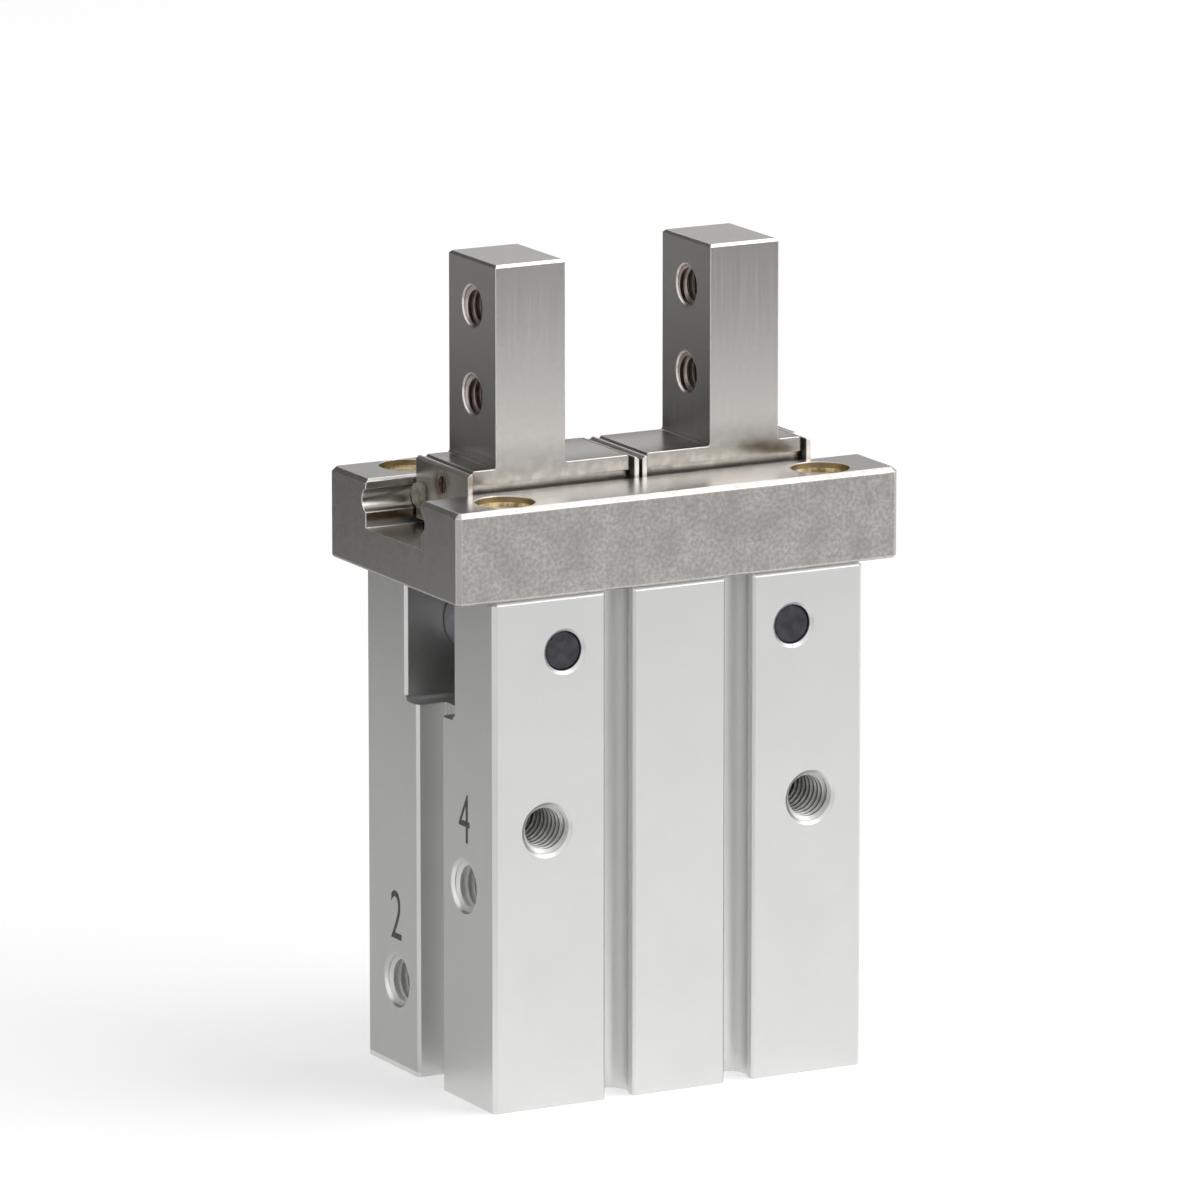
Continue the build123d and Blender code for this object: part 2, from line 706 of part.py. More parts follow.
for side, sign in sides:
    # Lever shaft, held in both wide faces of the body
    with BuildPart() as lever_shaft:
        with Locations(Plane(origin=(sign * pivot_x, 0, pivot_z), z_dir=(0, -1, 0))):
            Cylinder(shaft_diameter / 2, body_depth - 2 * shaft_recess)
        chamfer(lever_shaft.edges().filter_by(GeomType.CIRCLE), shaft_edge)
    save(lever_shaft, f"lever_shaft_{side}")

    # Bell-crank lever: forked long arm for the roller, short arm with a knob
    with BuildPart() as lever:
        with BuildSketch(lever_plane(sign)):
            Circle(long_arm_root / 2)
            with Locations((0, long_arm)):
                Circle(roller_diameter / 2 - roller_proud)
            make_hull()
        extrude(amount=lever_thickness / 2, both=True)
        with BuildSketch(lever_plane(sign)):
            Circle(short_arm_root / 2)
            with Locations((-short_arm, 0)):
                Circle(short_arm_tip / 2)
            make_hull()
            with Locations((-short_arm, 0)):
                Circle(knob_diameter / 2)
        extrude(amount=lever_thickness / 2, both=True)
        with BuildSketch(lever_plane(sign)):
            Circle(hub_diameter / 2)
        extrude(amount=hub_length / 2, both=True)
        with BuildSketch(lever_plane(sign)):
            Circle(shaft_diameter / 2 + running_fit)
            with Locations((0, long_arm)):
                Circle(roller_pin_diameter / 2 + slip_fit)
        extrude(amount=hub_length, both=True, mode=Mode.SUBTRACT)
        with BuildSketch(lever_plane(sign)):
            with Locations((0, long_arm)):
                Circle(roller_diameter / 2 + roller_rim_gap)
        extrude(amount=roller_width / 2 + roller_side_gap, both=True, mode=Mode.SUBTRACT)
    save(lever, f"lever_{side}")

    # Roller and its pin in the lever's fork
    with BuildPart() as lever_roller:
        with BuildSketch(lever_plane(sign)):
            with Locations((0, long_arm)):
                Circle(roller_diameter / 2)
                Circle(roller_pin_diameter / 2 + running_fit, mode=Mode.SUBTRACT)
        extrude(amount=roller_width / 2, both=True)
    save(lever_roller, f"lever_roller_{side}")

    with BuildPart() as roller_pin:
        with BuildSketch(lever_plane(sign)):
            with Locations((0, long_arm)):
                Circle(roller_pin_diameter / 2)
        extrude(amount=lever_thickness / 2, both=True)
    save(roller_pin, f"roller_pin_{side}")

    # Finger: carriage with ball grooves below, attachment bar above, in one piece
    with BuildPart() as finger:
        # Attachment bar
        with BuildSketch(Plane.XZ):
            with Locations((sign * bar_middle_x, (carriage_top + finger_top) / 2)):
                Rectangle(finger_thickness, finger_top - carriage_top)
        extrude(amount=finger_width / 2, both=True)
        chamfer(finger.faces().sort_by(Axis.Z)[-1].edges(), finger_edge)
        # Carriage
        with BuildSketch(Plane.YZ.offset(sign * carriage_middle_x)):
            with Locations((0, (carriage_bottom + shoulder_height) / 2)):
                Rectangle(2 * carriage_half_width, shoulder_height - carriage_bottom)
            with Locations((0, (shoulder_height + flange_bottom) / 2)):
                Rectangle(2 * neck_half_width, flange_bottom - shoulder_height)
            with Locations((0, (flange_bottom + carriage_top) / 2)):
                Rectangle(finger_width, carriage_flange)
            with Locations((-ball_y, raceway_height), (ball_y, raceway_height)):
                Circle(raceway_radius, mode=Mode.SUBTRACT)
        extrude(amount=carriage_length / 2 - stopper_relief, both=True)
        foot_edges = (
            finger.edges()
            .filter_by(Axis.Y)
            .filter_by_position(Axis.Z, carriage_top - pick_margin, carriage_top + pick_margin)
            .sort_by(Axis.X)
        )
        fillet(foot_edges[1:3], foot_blend)
        chamfer([foot_edges[0], foot_edges[3]], carriage_edge)
        # Bosses at both ends of the carriage, which the end plates seat on
        boss_top_z = carriage_top - end_boss_drop
        with BuildSketch(Plane.YZ.offset(sign * carriage_middle_x)):
            with Locations((0, (carriage_bottom + boss_top_z) / 2)):
                Rectangle(end_boss_width, boss_top_z - carriage_bottom)
        extrude(amount=carriage_length / 2, both=True)
        # Slot in the underside for the lever's roller
        with BuildSketch(Plane.XY.offset(carriage_bottom)):
            with Locations((sign * roller_x, 0)):
                Rectangle(
                    roller_diameter + 2 * roller_slot_side_gap, lever_thickness + 2 * roller_slot_end_gap
                )
        extrude(amount=roller_seat + roller_diameter / 2 + roller_slot_top_gap, mode=Mode.SUBTRACT)
        # Attachment threads through the bar
        for step in (0, 1):
            thread_z = finger_top - finger_thread_from_top - step * finger_thread_pitch
            for face in (-1, 1):
                face_x = sign * bar_middle_x + face * finger_thickness / 2
                with Locations(Plane(origin=(face_x, 0, thread_z), z_dir=(face, 0, 0))):
                    CounterSinkHole(
                        finger_thread / 2,
                        finger_thread_mouth / 2,
                        finger_thickness / 2,
                        counter_sink_angle=90,
                    )
        # Threads for the end plate screws
        for end_x, outward in ((carriage_outer_x, 1), (carriage_inner_x, -1)):
            with Locations(Plane(origin=(sign * end_x, 0, guide_top), z_dir=(sign * outward, 0, 0))):
                Hole(stopper_screw / 2 + slip_fit, stopper_screw_length)
    save(finger, f"finger_{side}")

    # End plates: they fill the channel's section and reach into the raceways
    for place, end_x, outward in (("inner", carriage_inner_x, -sign), ("outer", carriage_outer_x, sign)):
        seat_x = sign * end_x
        with BuildPart() as stopper:
            plate_top = carriage_top - stopper_top_drop
            with BuildSketch(Plane.YZ.offset(seat_x)):
                with Locations((0, (carriage_bottom + plate_top) / 2)):
                    Rectangle(channel_width - 2 * stopper_side_gap, plate_top - carriage_bottom)
                with Locations((-ball_y, raceway_height), (ball_y, raceway_height)):
                    Circle(raceway_radius - stopper_ear_gap)
            extrude(amount=outward * stopper_thickness)
            top_edges = stopper.edges().filter_by(Axis.Y).group_by(Axis.Z)[-1].sort_by(Axis.X)
            chamfer(top_edges[-1] if outward > 0 else top_edges[0], stopper_edge)
            plate_face = Plane(
                origin=(seat_x + outward * stopper_thickness, 0, guide_top), z_dir=(outward, 0, 0)
            )
            with Locations(plate_face):
                CounterSinkHole(
                    stopper_screw / 2 + slip_fit,
                    stopper_screw_head / 2 + slip_fit,
                    stopper_thickness,
                    counter_sink_angle=90,
                )
        save(stopper, f"{place}_stopper_{side}")

    # Two slotted countersunk screws, one for each end plate
    with BuildPart() as stopper_screws:
        for end_x, outward in ((carriage_outer_x, sign), (carriage_inner_x, -sign)):
            head_x = sign * end_x + outward * stopper_thickness
            head_depth_run = (stopper_screw_head - stopper_screw) / 2
            with BuildSketch(Plane.XY.offset(guide_top)):
                with BuildLine():
                    Polyline(
                        (head_x, 0),
                        (head_x, stopper_screw_head / 2),
                        (head_x - outward * head_depth_run, stopper_screw / 2),
                        (head_x - outward * stopper_screw_length, stopper_screw / 2),
                        (head_x - outward * stopper_screw_length, 0),
                        close=True,
                    )
                make_face()
            revolve(axis=Axis((0, 0, guide_top), (1, 0, 0)))
            with Locations((head_x, 0, guide_top)):
                Box(
                    2 * stopper_screw_slot_depth, stopper_screw_slot, stopper_screw_head, mode=Mode.SUBTRACT
                )
    save(stopper_screws, f"stopper_screws_{side}")

    # Steel balls between the carriage and both channel walls
    with BuildPart() as bearing_balls:
        for row in (-1, 1):
            with Locations((sign * ball_row_middle_x, row * ball_y, raceway_height)):
                with GridLocations(ball_pitch, 0, balls_per_row, 1):
                    Sphere(ball_diameter / 2)
    save(bearing_balls, f"bearing_balls_{side}")
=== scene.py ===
"""Looks of a two-finger pneumatic parallel gripper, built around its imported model.

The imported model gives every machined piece. This file gives each of them the finish of the real metal
or rubber, adds what is too fine for the model, such as screw threads, marks and grease, and sets up the
studio. Lengths in the classes are millimetres, and `mm` turns them into Blender's metres.
"""
import logging
import math
from dataclasses import dataclass, field
from enum import Enum
from functools import cache

import bmesh
import bpy
from mathutils import Matrix, Vector


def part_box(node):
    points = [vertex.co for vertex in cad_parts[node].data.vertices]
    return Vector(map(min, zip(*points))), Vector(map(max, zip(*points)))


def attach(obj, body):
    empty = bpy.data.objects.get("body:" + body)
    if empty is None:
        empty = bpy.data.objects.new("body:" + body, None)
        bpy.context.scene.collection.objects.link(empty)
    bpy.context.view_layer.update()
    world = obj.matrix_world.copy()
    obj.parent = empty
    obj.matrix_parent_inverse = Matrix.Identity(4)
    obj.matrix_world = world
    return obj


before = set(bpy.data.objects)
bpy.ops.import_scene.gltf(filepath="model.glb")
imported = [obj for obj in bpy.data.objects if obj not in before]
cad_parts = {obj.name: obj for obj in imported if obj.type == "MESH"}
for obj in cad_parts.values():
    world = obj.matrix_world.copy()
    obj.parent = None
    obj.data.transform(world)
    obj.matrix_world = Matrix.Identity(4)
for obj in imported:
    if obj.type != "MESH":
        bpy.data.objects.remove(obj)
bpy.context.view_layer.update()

log = logging.getLogger("gripper")

Socket = bpy.types.NodeSocket
Tree = bpy.types.NodeTree
Material = bpy.types.Material
Piece = bpy.types.Object
Place = tuple[float, float, float]
Layer = tuple[Socket, str]
Value = Socket | Material | float | int | bool | str | tuple

# How far a stain reaches past the radius of a round wall, to take in the whole of it
WALL_MARGIN = 0.02

WHITE = (1.0, 1.0, 1.0, 1.0)


def mm(length: float) -> float:
    """Turn millimetres into Blender's metres."""
    return length / 1000


def linear(hex_colour: str) -> tuple[float, float, float, float]:
    """Turn an sRGB hex colour into the linear colour that a shader takes.

    Args:
        hex_colour: A colour such as "#D8D8D6".

    Returns:
        Red, green, blue and an alpha of one, in linear light.
    """
    channels = [int(hex_colour[start:start + 2], 16) / 255 for start in (1, 3, 5)]
    red, green, blue = (c / 12.92 if c <= 0.04045 else ((c + 0.055) / 1.055) ** 2.4 for c in channels)
    return red, green, blue, 1.0


def add(
    tree: Tree, kind: str, values: dict[str | int, Value], out: str = "", **settings: str | bool | int
) -> Socket | None:
    """Add a node with its settings, its links and its plain values.

    Args:
        tree: The node tree that gets the node.
        kind: Blender's name for the kind of node.
        values: What each input gets, by its name or number: a socket to link from, or a value.
        out: Name of the output that is wanted, or nothing for the first one in use.
        settings: Properties of the node itself, such as its operation.

    Returns:
        The wanted output, or None where the node has none.
    """
    node = tree.nodes.new(kind)
    for name, setting in settings.items():
        setattr(node, name, setting)
    for key, value in values.items():
        if isinstance(value, Socket):
            tree.links.new(value, node.inputs[key])
        else:
            node.inputs[key].default_value = value
    if out:
        return node.outputs[out]
    return next((output for output in node.outputs if output.enabled), None)


def new_tree(owner: Material | bpy.types.World) -> Tree:
    """Give a material or world an empty node tree.

    Args:
        owner: The material or world.

    Returns:
        Its node tree.
    """
    owner.use_nodes = True
    owner.node_tree.nodes.clear()
    return owner.node_tree


def mesh_object(name: str, mesh: bpy.types.Mesh) -> Piece:
    """Show a mesh at the world's origin, where every finished piece stays.

    Args:
        name: The piece's name.
        mesh: Its mesh.

    Returns:
        The piece.
    """
    piece = bpy.data.objects.new(name, mesh)
    bpy.context.scene.collection.objects.link(piece)
    return piece


def corners(x: float, y: float, z: float) -> tuple[Place, ...]:
    """Four like places: left and right of the middle, and in front of it and behind."""
    return tuple((side * x, face * y, z) for side in (-1, 1) for face in (-1, 1))


def box_corners(node: str) -> tuple[Place, Place]:
    """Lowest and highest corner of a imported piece's box, in millimetres."""
    return tuple(tuple(part * 1000 for part in corner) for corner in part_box(node))


# Patterns that the finishes share


class Axis(Enum):
    """An axis of the gripper. Each value is its direction."""

    X = (1.0, 0.0, 0.0)
    Y = (0.0, 1.0, 0.0)
    Z = (0.0, 0.0, 1.0)


class Lines(Enum):
    """Which way a tool, roll or die left its lines. Each value stretches a pattern along X, Y and Z."""

    NONE = (1.0, 1.0, 1.0)
    ALONG_Y = (1.0, 0.03, 1.0)
    ALONG_Z = (1.0, 1.0, 0.03)
    ROUND_Z = (0.03, 0.03, 1.0)
    ROUND_Y = (0.03, 1.0, 0.03)


def pattern(tree: Tree, size: float, lines: Lines = Lines.NONE, detail: float = 3.0) -> Socket:
    """A random pattern in the object's own millimetres, as a value about one half.

    Args:
        tree: The material's node tree.
        size: Width of one grain or line of the pattern, in millimetres.
        lines: Direction in which the pattern is drawn out.
        detail: How many finer layers lie on it.

    Returns:
        The pattern's value, from nought to one.
    """
    places = add(tree, "ShaderNodeTexCoord", {}, "Object")
    stretch = tuple(share / mm(size) for share in lines.value)
    drawn = add(tree, "ShaderNodeMapping", {"Vector": places, "Scale": stretch})
    return add(tree, "ShaderNodeTexNoise", {"Vector": drawn, "Scale": 1.0, "Detail": detail})


def patches(
    tree: Tree, size: float, low: float, high: float,
    start: float = 0.0, end: float = 1.0, lines: Lines = Lines.NONE,
) -> Socket:
    """A random pattern spread between two values, such as the share that a patch of colour has.

    Args:
        tree: The material's node tree.
        size: Size of one patch, in millimetres.
        low: Where in the pattern the spread starts.
        high: Where it ends.
        start: What comes out at `low` and under.
        end: What comes out at `high` and over.
        lines: Direction in which the pattern is drawn out.

    Returns:
        The spread value.
    """
    value = pattern(tree, size, lines, detail=4.0)
    limits = {"Value": value, "From Min": low, "From Max": high, "To Min": start, "To Max": end}
    return add(tree, "ShaderNodeMapRange", limits, interpolation_type="SMOOTHSTEP")


def faces_along(tree: Tree, axis: Axis, least: float) -> Socket:
    """Which surfaces face along an axis, either way.

    Args:
        tree: The material's node tree.
        axis: The axis.
        least: Length that their normal has along the axis at least, from nought to one.

    Returns:
        One on those surfaces, and nought on the others.
    """
    facing = add(tree, "ShaderNodeTexCoord", {}, "Normal")
    along = add(tree, "ShaderNodeSeparateXYZ", {0: facing}, axis.name)
    length = add(tree, "ShaderNodeMath", {0: along}, operation="ABSOLUTE")
    return add(tree, "ShaderNodeMath", {0: length, 1: least}, operation="GREATER_THAN")


# Finishes


@dataclass(frozen=True)
class StainAndPaintedLight:
    """Colour round some parallel stretches, such as the axes of threads: a stain of oil, heat or a fresh cut,
    and in places painted shade and painted highlights.

    Attributes:
        colour: Its colour as sRGB hex.
        axis: The axis that the stretches run along.
        places: The middle of each stretch.
        inner: Distance up to which the stain is full.
        fade: Distance over which it fades from there.
        reach: Half the length of each stretch.
        least: Its share where it is faintest, within the full distance.
        patch_size: Size of its patches.
    """

    colour: str
    axis: Axis
    places: tuple[Place, ...]
    inner: float
    fade: float
    reach: float
    least: float = 1.0
    patch_size: float = 1.2

    def near(self, tree: Tree) -> Socket:
        """How near the surface is to the stretches.

        Args:
            tree: The material's node tree.

        Returns:
            One where the stain is full round any of them, and nought where it has faded.
        """
        where = add(tree, "ShaderNodeTexCoord", {}, "Object")
        along = self.axis.value
        aside = tuple(1.0 - part for part in along)
        fading = {
            "From Min": mm(self.inner), "From Max": mm(self.inner + self.fade), "To Min": 1.0, "To Max": 0.0,
        }
        share = 0.0
        for place in self.places:
            middle = [mm(part) for part in place]
            offset = add(tree, "ShaderNodeVectorMath", {0: where, 1: middle}, operation="SUBTRACT")
            flat = add(tree, "ShaderNodeVectorMath", {0: offset, 1: aside}, operation="MULTIPLY")
            distance = add(tree, "ShaderNodeVectorMath", {0: flat}, "Value", operation="LENGTH")
            limits = {"Value": distance, **fading}
            near = add(tree, "ShaderNodeMapRange", limits, interpolation_type="SMOOTHSTEP")
            depth = add(tree, "ShaderNodeVectorMath", {0: offset, 1: along}, "Value", operation="DOT_PRODUCT")
            depth = add(tree, "ShaderNodeMath", {0: depth}, operation="ABSOLUTE")
            within = add(tree, "ShaderNodeMath", {0: depth, 1: mm(self.reach)}, operation="LESS_THAN")
            here = add(tree, "ShaderNodeMath", {0: near, 1: within}, operation="MULTIPLY")
            share = add(tree, "ShaderNodeMath", {0: here, 1: share}, operation="MAXIMUM")
        return share

    def layer(self, tree: Tree) -> Layer:
        """How much of this colour shows on the surface, and the colour."""
        uneven = patches(tree, self.patch_size, low=0.35, high=0.6, start=self.least)
        return add(tree, "ShaderNodeMath", {0: self.near(tree), 1: uneven}, operation="MULTIPLY"), self.colour


@dataclass(frozen=True)
class Metal:
    """A metal surface: its colour, the patches and tool lines on it, and how sharp it mirrors.

    Attributes:
        name: The metal and how its surface was made.
        colour: Its colour as sRGB hex.
        patch_colour: The colour of its darker or stained patches.
        patch_size: Size of a patch in millimetres.
        patch_share: How strongly the patches show, from nought to one.
        roughness: Its middle roughness.
        roughness_spread: How far the roughness wanders either way.
        lines: Direction of the tool lines.
        line_size: Width of a tool line in millimetres.
        line_depth: Depth of a tool line in millimetres.
        line_pull: How far the lines draw reflections out across themselves, from nought to one.
        edge: Radius of its broken edges in millimetres.
        edge_colour: The colour of its edges: handling polish, and partly a painted highlight.
        edge_share: How strongly that shows, from nought to one.
        edge_turn: How the rounded normal agrees with the face's own where that is full, and where it ends.
        stains_and_painted_light: Stains on it, and painted shade and painted highlights.
    """

    name: str
    colour: str
    patch_colour: str
    patch_size: float = 4.0
    patch_share: float = 0.5
    roughness: float = 0.3
    roughness_spread: float = 0.06
    lines: Lines = Lines.NONE
    line_size: float = 0.15
    line_depth: float = 0.003
    line_pull: float = 0.0
    edge: float = 0.1
    edge_colour: str = "#F6F4F0"
    edge_share: float = 0.0
    edge_turn: tuple[float, float] = (0.93, 0.995)
    stains_and_painted_light: tuple[StainAndPaintedLight, ...] = ()

    def layers(self, tree: Tree) -> list[Layer]:
        """Colours over the plain one, from the lowest up, each with its share of the surface."""
        share = patches(tree, self.patch_size, low=0.3, high=0.72, end=self.patch_share)
        return [(share, self.patch_colour)]

    def roughnesses(self, tree: Tree) -> Socket:
        """Roughness of the surface, which wanders over a few tool lines."""
        least, most = self.roughness - self.roughness_spread, self.roughness + self.roughness_spread
        size = 3 * self.line_size
        return patches(tree, size, low=0.35, high=0.65, start=least, end=most, lines=self.lines)

    def depths(self, tree: Tree) -> Socket | float:
        """Depth of the tool lines or grain, in metres."""
        return mm(self.line_depth)

    def polished_and_highlit_edges(self, tree: Tree, facing: Socket, rounded: Socket) -> Layer:
        """Handling polish and a painted highlight on the edges, where the rounded normal leaves the face's
        own.

        Args:
            tree: The material's node tree.
            facing: The face's own normal.
            rounded: The normal as if the edges were rounded.

        Returns:
            How much of the polish and painted highlight shows, and its colour.
        """
        turn = add(tree, "ShaderNodeVectorMath", {0: facing, 1: rounded}, "Value", operation="DOT_PRODUCT")
        full, end = self.edge_turn
        limits = {"Value": turn, "From Min": full, "From Max": end, "To Min": self.edge_share, "To Max": 0.0}
        return add(tree, "ShaderNodeMapRange", limits, interpolation_type="SMOOTHSTEP"), self.edge_colour

    @cache
    def material(self) -> Material:
        """Build the material, once for each finish.

        Returns:
            A metallic material that reads Object coordinates.
        """
        made = bpy.data.materials.new(self.name)
        tree = new_tree(made)
        facing = add(tree, "ShaderNodeNewGeometry", {}, "Normal")
        rounded = add(tree, "ShaderNodeBevel", {"Radius": mm(self.edge)}, samples=6)
        layers = self.layers(tree) + [overlay.layer(tree) for overlay in self.stains_and_painted_light]
        # Lighter edges: handling polish, and partly a painted highlight
        if self.edge_share:
            layers.append(self.polished_and_highlit_edges(tree, facing, rounded))
        colour = linear(self.colour)
        for share, over in layers:
            mixed = {0: share, 6: colour, 7: linear(over)}
            colour = add(tree, "ShaderNodeMix", mixed, data_type="RGBA")
        lines = pattern(tree, self.line_size, self.lines)
        bumps = {"Strength": 1.0, "Distance": self.depths(tree), "Height": lines, "Normal": rounded}
        bump = add(tree, "ShaderNodeBump", bumps)
        values = {
            "Metallic": 1.0, "Base Color": colour, "Roughness": self.roughnesses(tree), "Normal": bump,
        }
        if self.line_pull:
            # Tool lines scatter light across themselves, so the tangent lies across them on each face
            along = tuple(1.0 if share < 1 else 0.02 for share in self.lines.value)
            across = add(tree, "ShaderNodeVectorMath", {0: along, 1: facing}, operation="CROSS_PRODUCT")
            values |= {"Tangent": across, "Anisotropic": self.line_pull}
        shader = add(tree, "ShaderNodeBsdfPrincipled", values)
        add(tree, "ShaderNodeOutputMaterial", {"Surface": shader})
        return made


@dataclass(frozen=True)
class GuideSteel(Metal):
    """Hardened stainless steel block: mottled tumbled sides, ground top and ground channel.

    Attributes:
        ground_colour: Colour where it is ground, as sRGB hex.
        ground_roughness: Roughness where it is ground.
        ground_depth: Depth of the grain there, in millimetres.
        top_facing: Length that a normal has along Z at least where it belongs to the top.
        channel_half: Half the width of its channel, with the raceways.
        end_colour: Colour of its milled ends, as sRGB hex.
        end_facing: Length that a normal has along X at least where it belongs to an end.
        cloud_size: Size of the broad clouds on its sides, in millimetres.
        cloud_share: How strongly they show, from nought to one.
        cloud_colour: Their colour as sRGB hex.
    """

    ground_colour: str = "#CDCAC7"
    ground_roughness: float = 0.27
    ground_depth: float = 0.00002
    top_facing: float = 0.85
    channel_half: float = 7.3
    end_colour: str = "#B2AFAB"
    end_facing: float = 0.65
    cloud_size: float = 3.5
    cloud_share: float = 0.5
    cloud_colour: str = "#9C9995"

    def ground(self, tree: Tree) -> Socket:
        """Where the surface is ground.

        Args:
            tree: The material's node tree.

        Returns:
            One on the top and inside the channel, and nought on the sides and ends.
        """
        place = add(tree, "ShaderNodeTexCoord", {}, "Object")
        sideways = add(tree, "ShaderNodeSeparateXYZ", {0: place}, "Y")
        out = add(tree, "ShaderNodeMath", {0: sideways}, operation="ABSOLUTE")
        inside = add(tree, "ShaderNodeMath", {0: out, 1: mm(self.channel_half)}, operation="LESS_THAN")
        end = faces_along(tree, Axis.X, self.end_facing)
        not_end = add(tree, "ShaderNodeMath", {0: 1.0, 1: end}, operation="SUBTRACT")
        channel = add(tree, "ShaderNodeMath", {0: inside, 1: not_end}, operation="MULTIPLY")
        top = faces_along(tree, Axis.Z, self.top_facing)
        return add(tree, "ShaderNodeMath", {0: top, 1: channel}, operation="MAXIMUM")

    def layers(self, tree: Tree) -> list[Layer]:
        """Clouded grey on the sides, even on the ends, and brighter where it is ground."""
        clouds = patches(tree, self.cloud_size, low=0.35, high=0.7, end=self.cloud_share)
        return super().layers(tree) + [
            (clouds, self.cloud_colour),
            (faces_along(tree, Axis.X, self.end_facing), self.end_colour),
            (self.ground(tree), self.ground_colour),
        ]

    def roughnesses(self, tree: Tree) -> Socket:
        """Satin on the sides and nearly a mirror where it is ground."""
        polish = {0: self.ground(tree), 2: super().roughnesses(tree), 3: self.ground_roughness}
        return add(tree, "ShaderNodeMix", polish, data_type="FLOAT")

    def depths(self, tree: Tree) -> Socket | float:
        """Deep grain on the sides and hardly any where it is ground."""
        grain = {0: self.ground(tree), 2: mm(self.line_depth), 3: mm(self.ground_depth)}
        return add(tree, "ShaderNodeMix", grain, data_type="FLOAT")


@dataclass(frozen=True)
class SheetSteel(Metal):
    """Rolled sheet that faces along X, with bright sheared edges.

    Attributes:
        sheared_colour: Colour of the edges, as sRGB hex.
        skin_facing: Length that a normal has along X at least where it belongs to the rolled skin.
    """

    sheared_colour: str = "#EFECE6"
    skin_facing: float = 0.75

    def layers(self, tree: Tree) -> list[Layer]:
        """Bare metal on the edges, over the rolled skin's colours."""
        aside = {0: 1.0, 1: faces_along(tree, Axis.X, self.skin_facing)}
        sheared = add(tree, "ShaderNodeMath", aside, operation="SUBTRACT"), self.sheared_colour
        return super().layers(tree) + [sheared]


@dataclass(frozen=True)
class Dull:
    """A surface that isn't metal: moulded rubber, cast urethane, a laser mark or grease.

    Attributes:
        name: The material and how it was made.
        colour: Its colour as sRGB hex.
        patch_colour: The colour of its lighter or dirtier patches.
        patch_size: Size of a patch in millimetres.
        roughness: Its roughness.
        grain_size: Size of its surface grain in millimetres.
        grain_depth: Depth of the grain in millimetres.
        ior: How strongly it bends light.
        clearness: How much light goes through it, from nought to one.
    """

    name: str
    colour: str
    patch_colour: str
    patch_size: float = 2.0
    roughness: float = 0.6
    grain_size: float = 0.15
    grain_depth: float = 0.01
    ior: float = 1.5
    clearness: float = 0.0

    @cache
    def material(self) -> Material:
        """Build the material, once for each finish.

        Returns:
            A material that reads Object coordinates.
        """
        made = bpy.data.materials.new(self.name)
        tree = new_tree(made)
        share = patches(tree, self.patch_size, low=0.4, high=0.68)
        mixed = {0: share, 6: linear(self.colour), 7: linear(self.patch_colour)}
        colour = add(tree, "ShaderNodeMix", mixed, data_type="RGBA")
        bumps = {"Strength": 1.0, "Distance": mm(self.grain_depth), "Height": pattern(tree, self.grain_size)}
        shader = add(tree, "ShaderNodeBsdfPrincipled", {
            "Base Color": colour, "Roughness": self.roughness, "IOR": self.ior,
            "Transmission Weight": self.clearness, "Normal": add(tree, "ShaderNodeBump", bumps),
        })
        add(tree, "ShaderNodeOutputMaterial", {"Surface": shader})
        return made


def dress(finish: Metal | Dull, *nodes: str) -> None:
    """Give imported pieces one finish.

    Args:
        finish: The finish.
        nodes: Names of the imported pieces.
    """
    for name in nodes:
        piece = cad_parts[name]
        piece.data.materials.clear()
        piece.data.materials.append(finish.material())
        log.info("%s: %s", name, finish.name)


# Screw threads


@dataclass(frozen=True)
class Bore:
    """One hole that gets thread ridges.

    Attributes:
        mouth: Centre of its mouth, in millimetres.
        outward: Direction out of the mouth.
    """

    mouth: Place
    outward: Place


@dataclass(frozen=True)
class Thread:
    """A set of like internal threads, in millimetres.

    Attributes:
        name: The piece's name.
        bores: The holes.
        radius: Radius of their walls.
        pitch: Pitch of the thread.
        start: Depth at which the thread starts.
        length: Length of the thread.
        body: The moving body that the holes are in.
        slot: The record's material slot; not used.
        finish: Finish of the ridges.
    """

    name: str
    bores: tuple[Bore, ...]
    radius: float
    pitch: float
    start: float
    length: float
    body: str
    slot: str
    finish: Metal


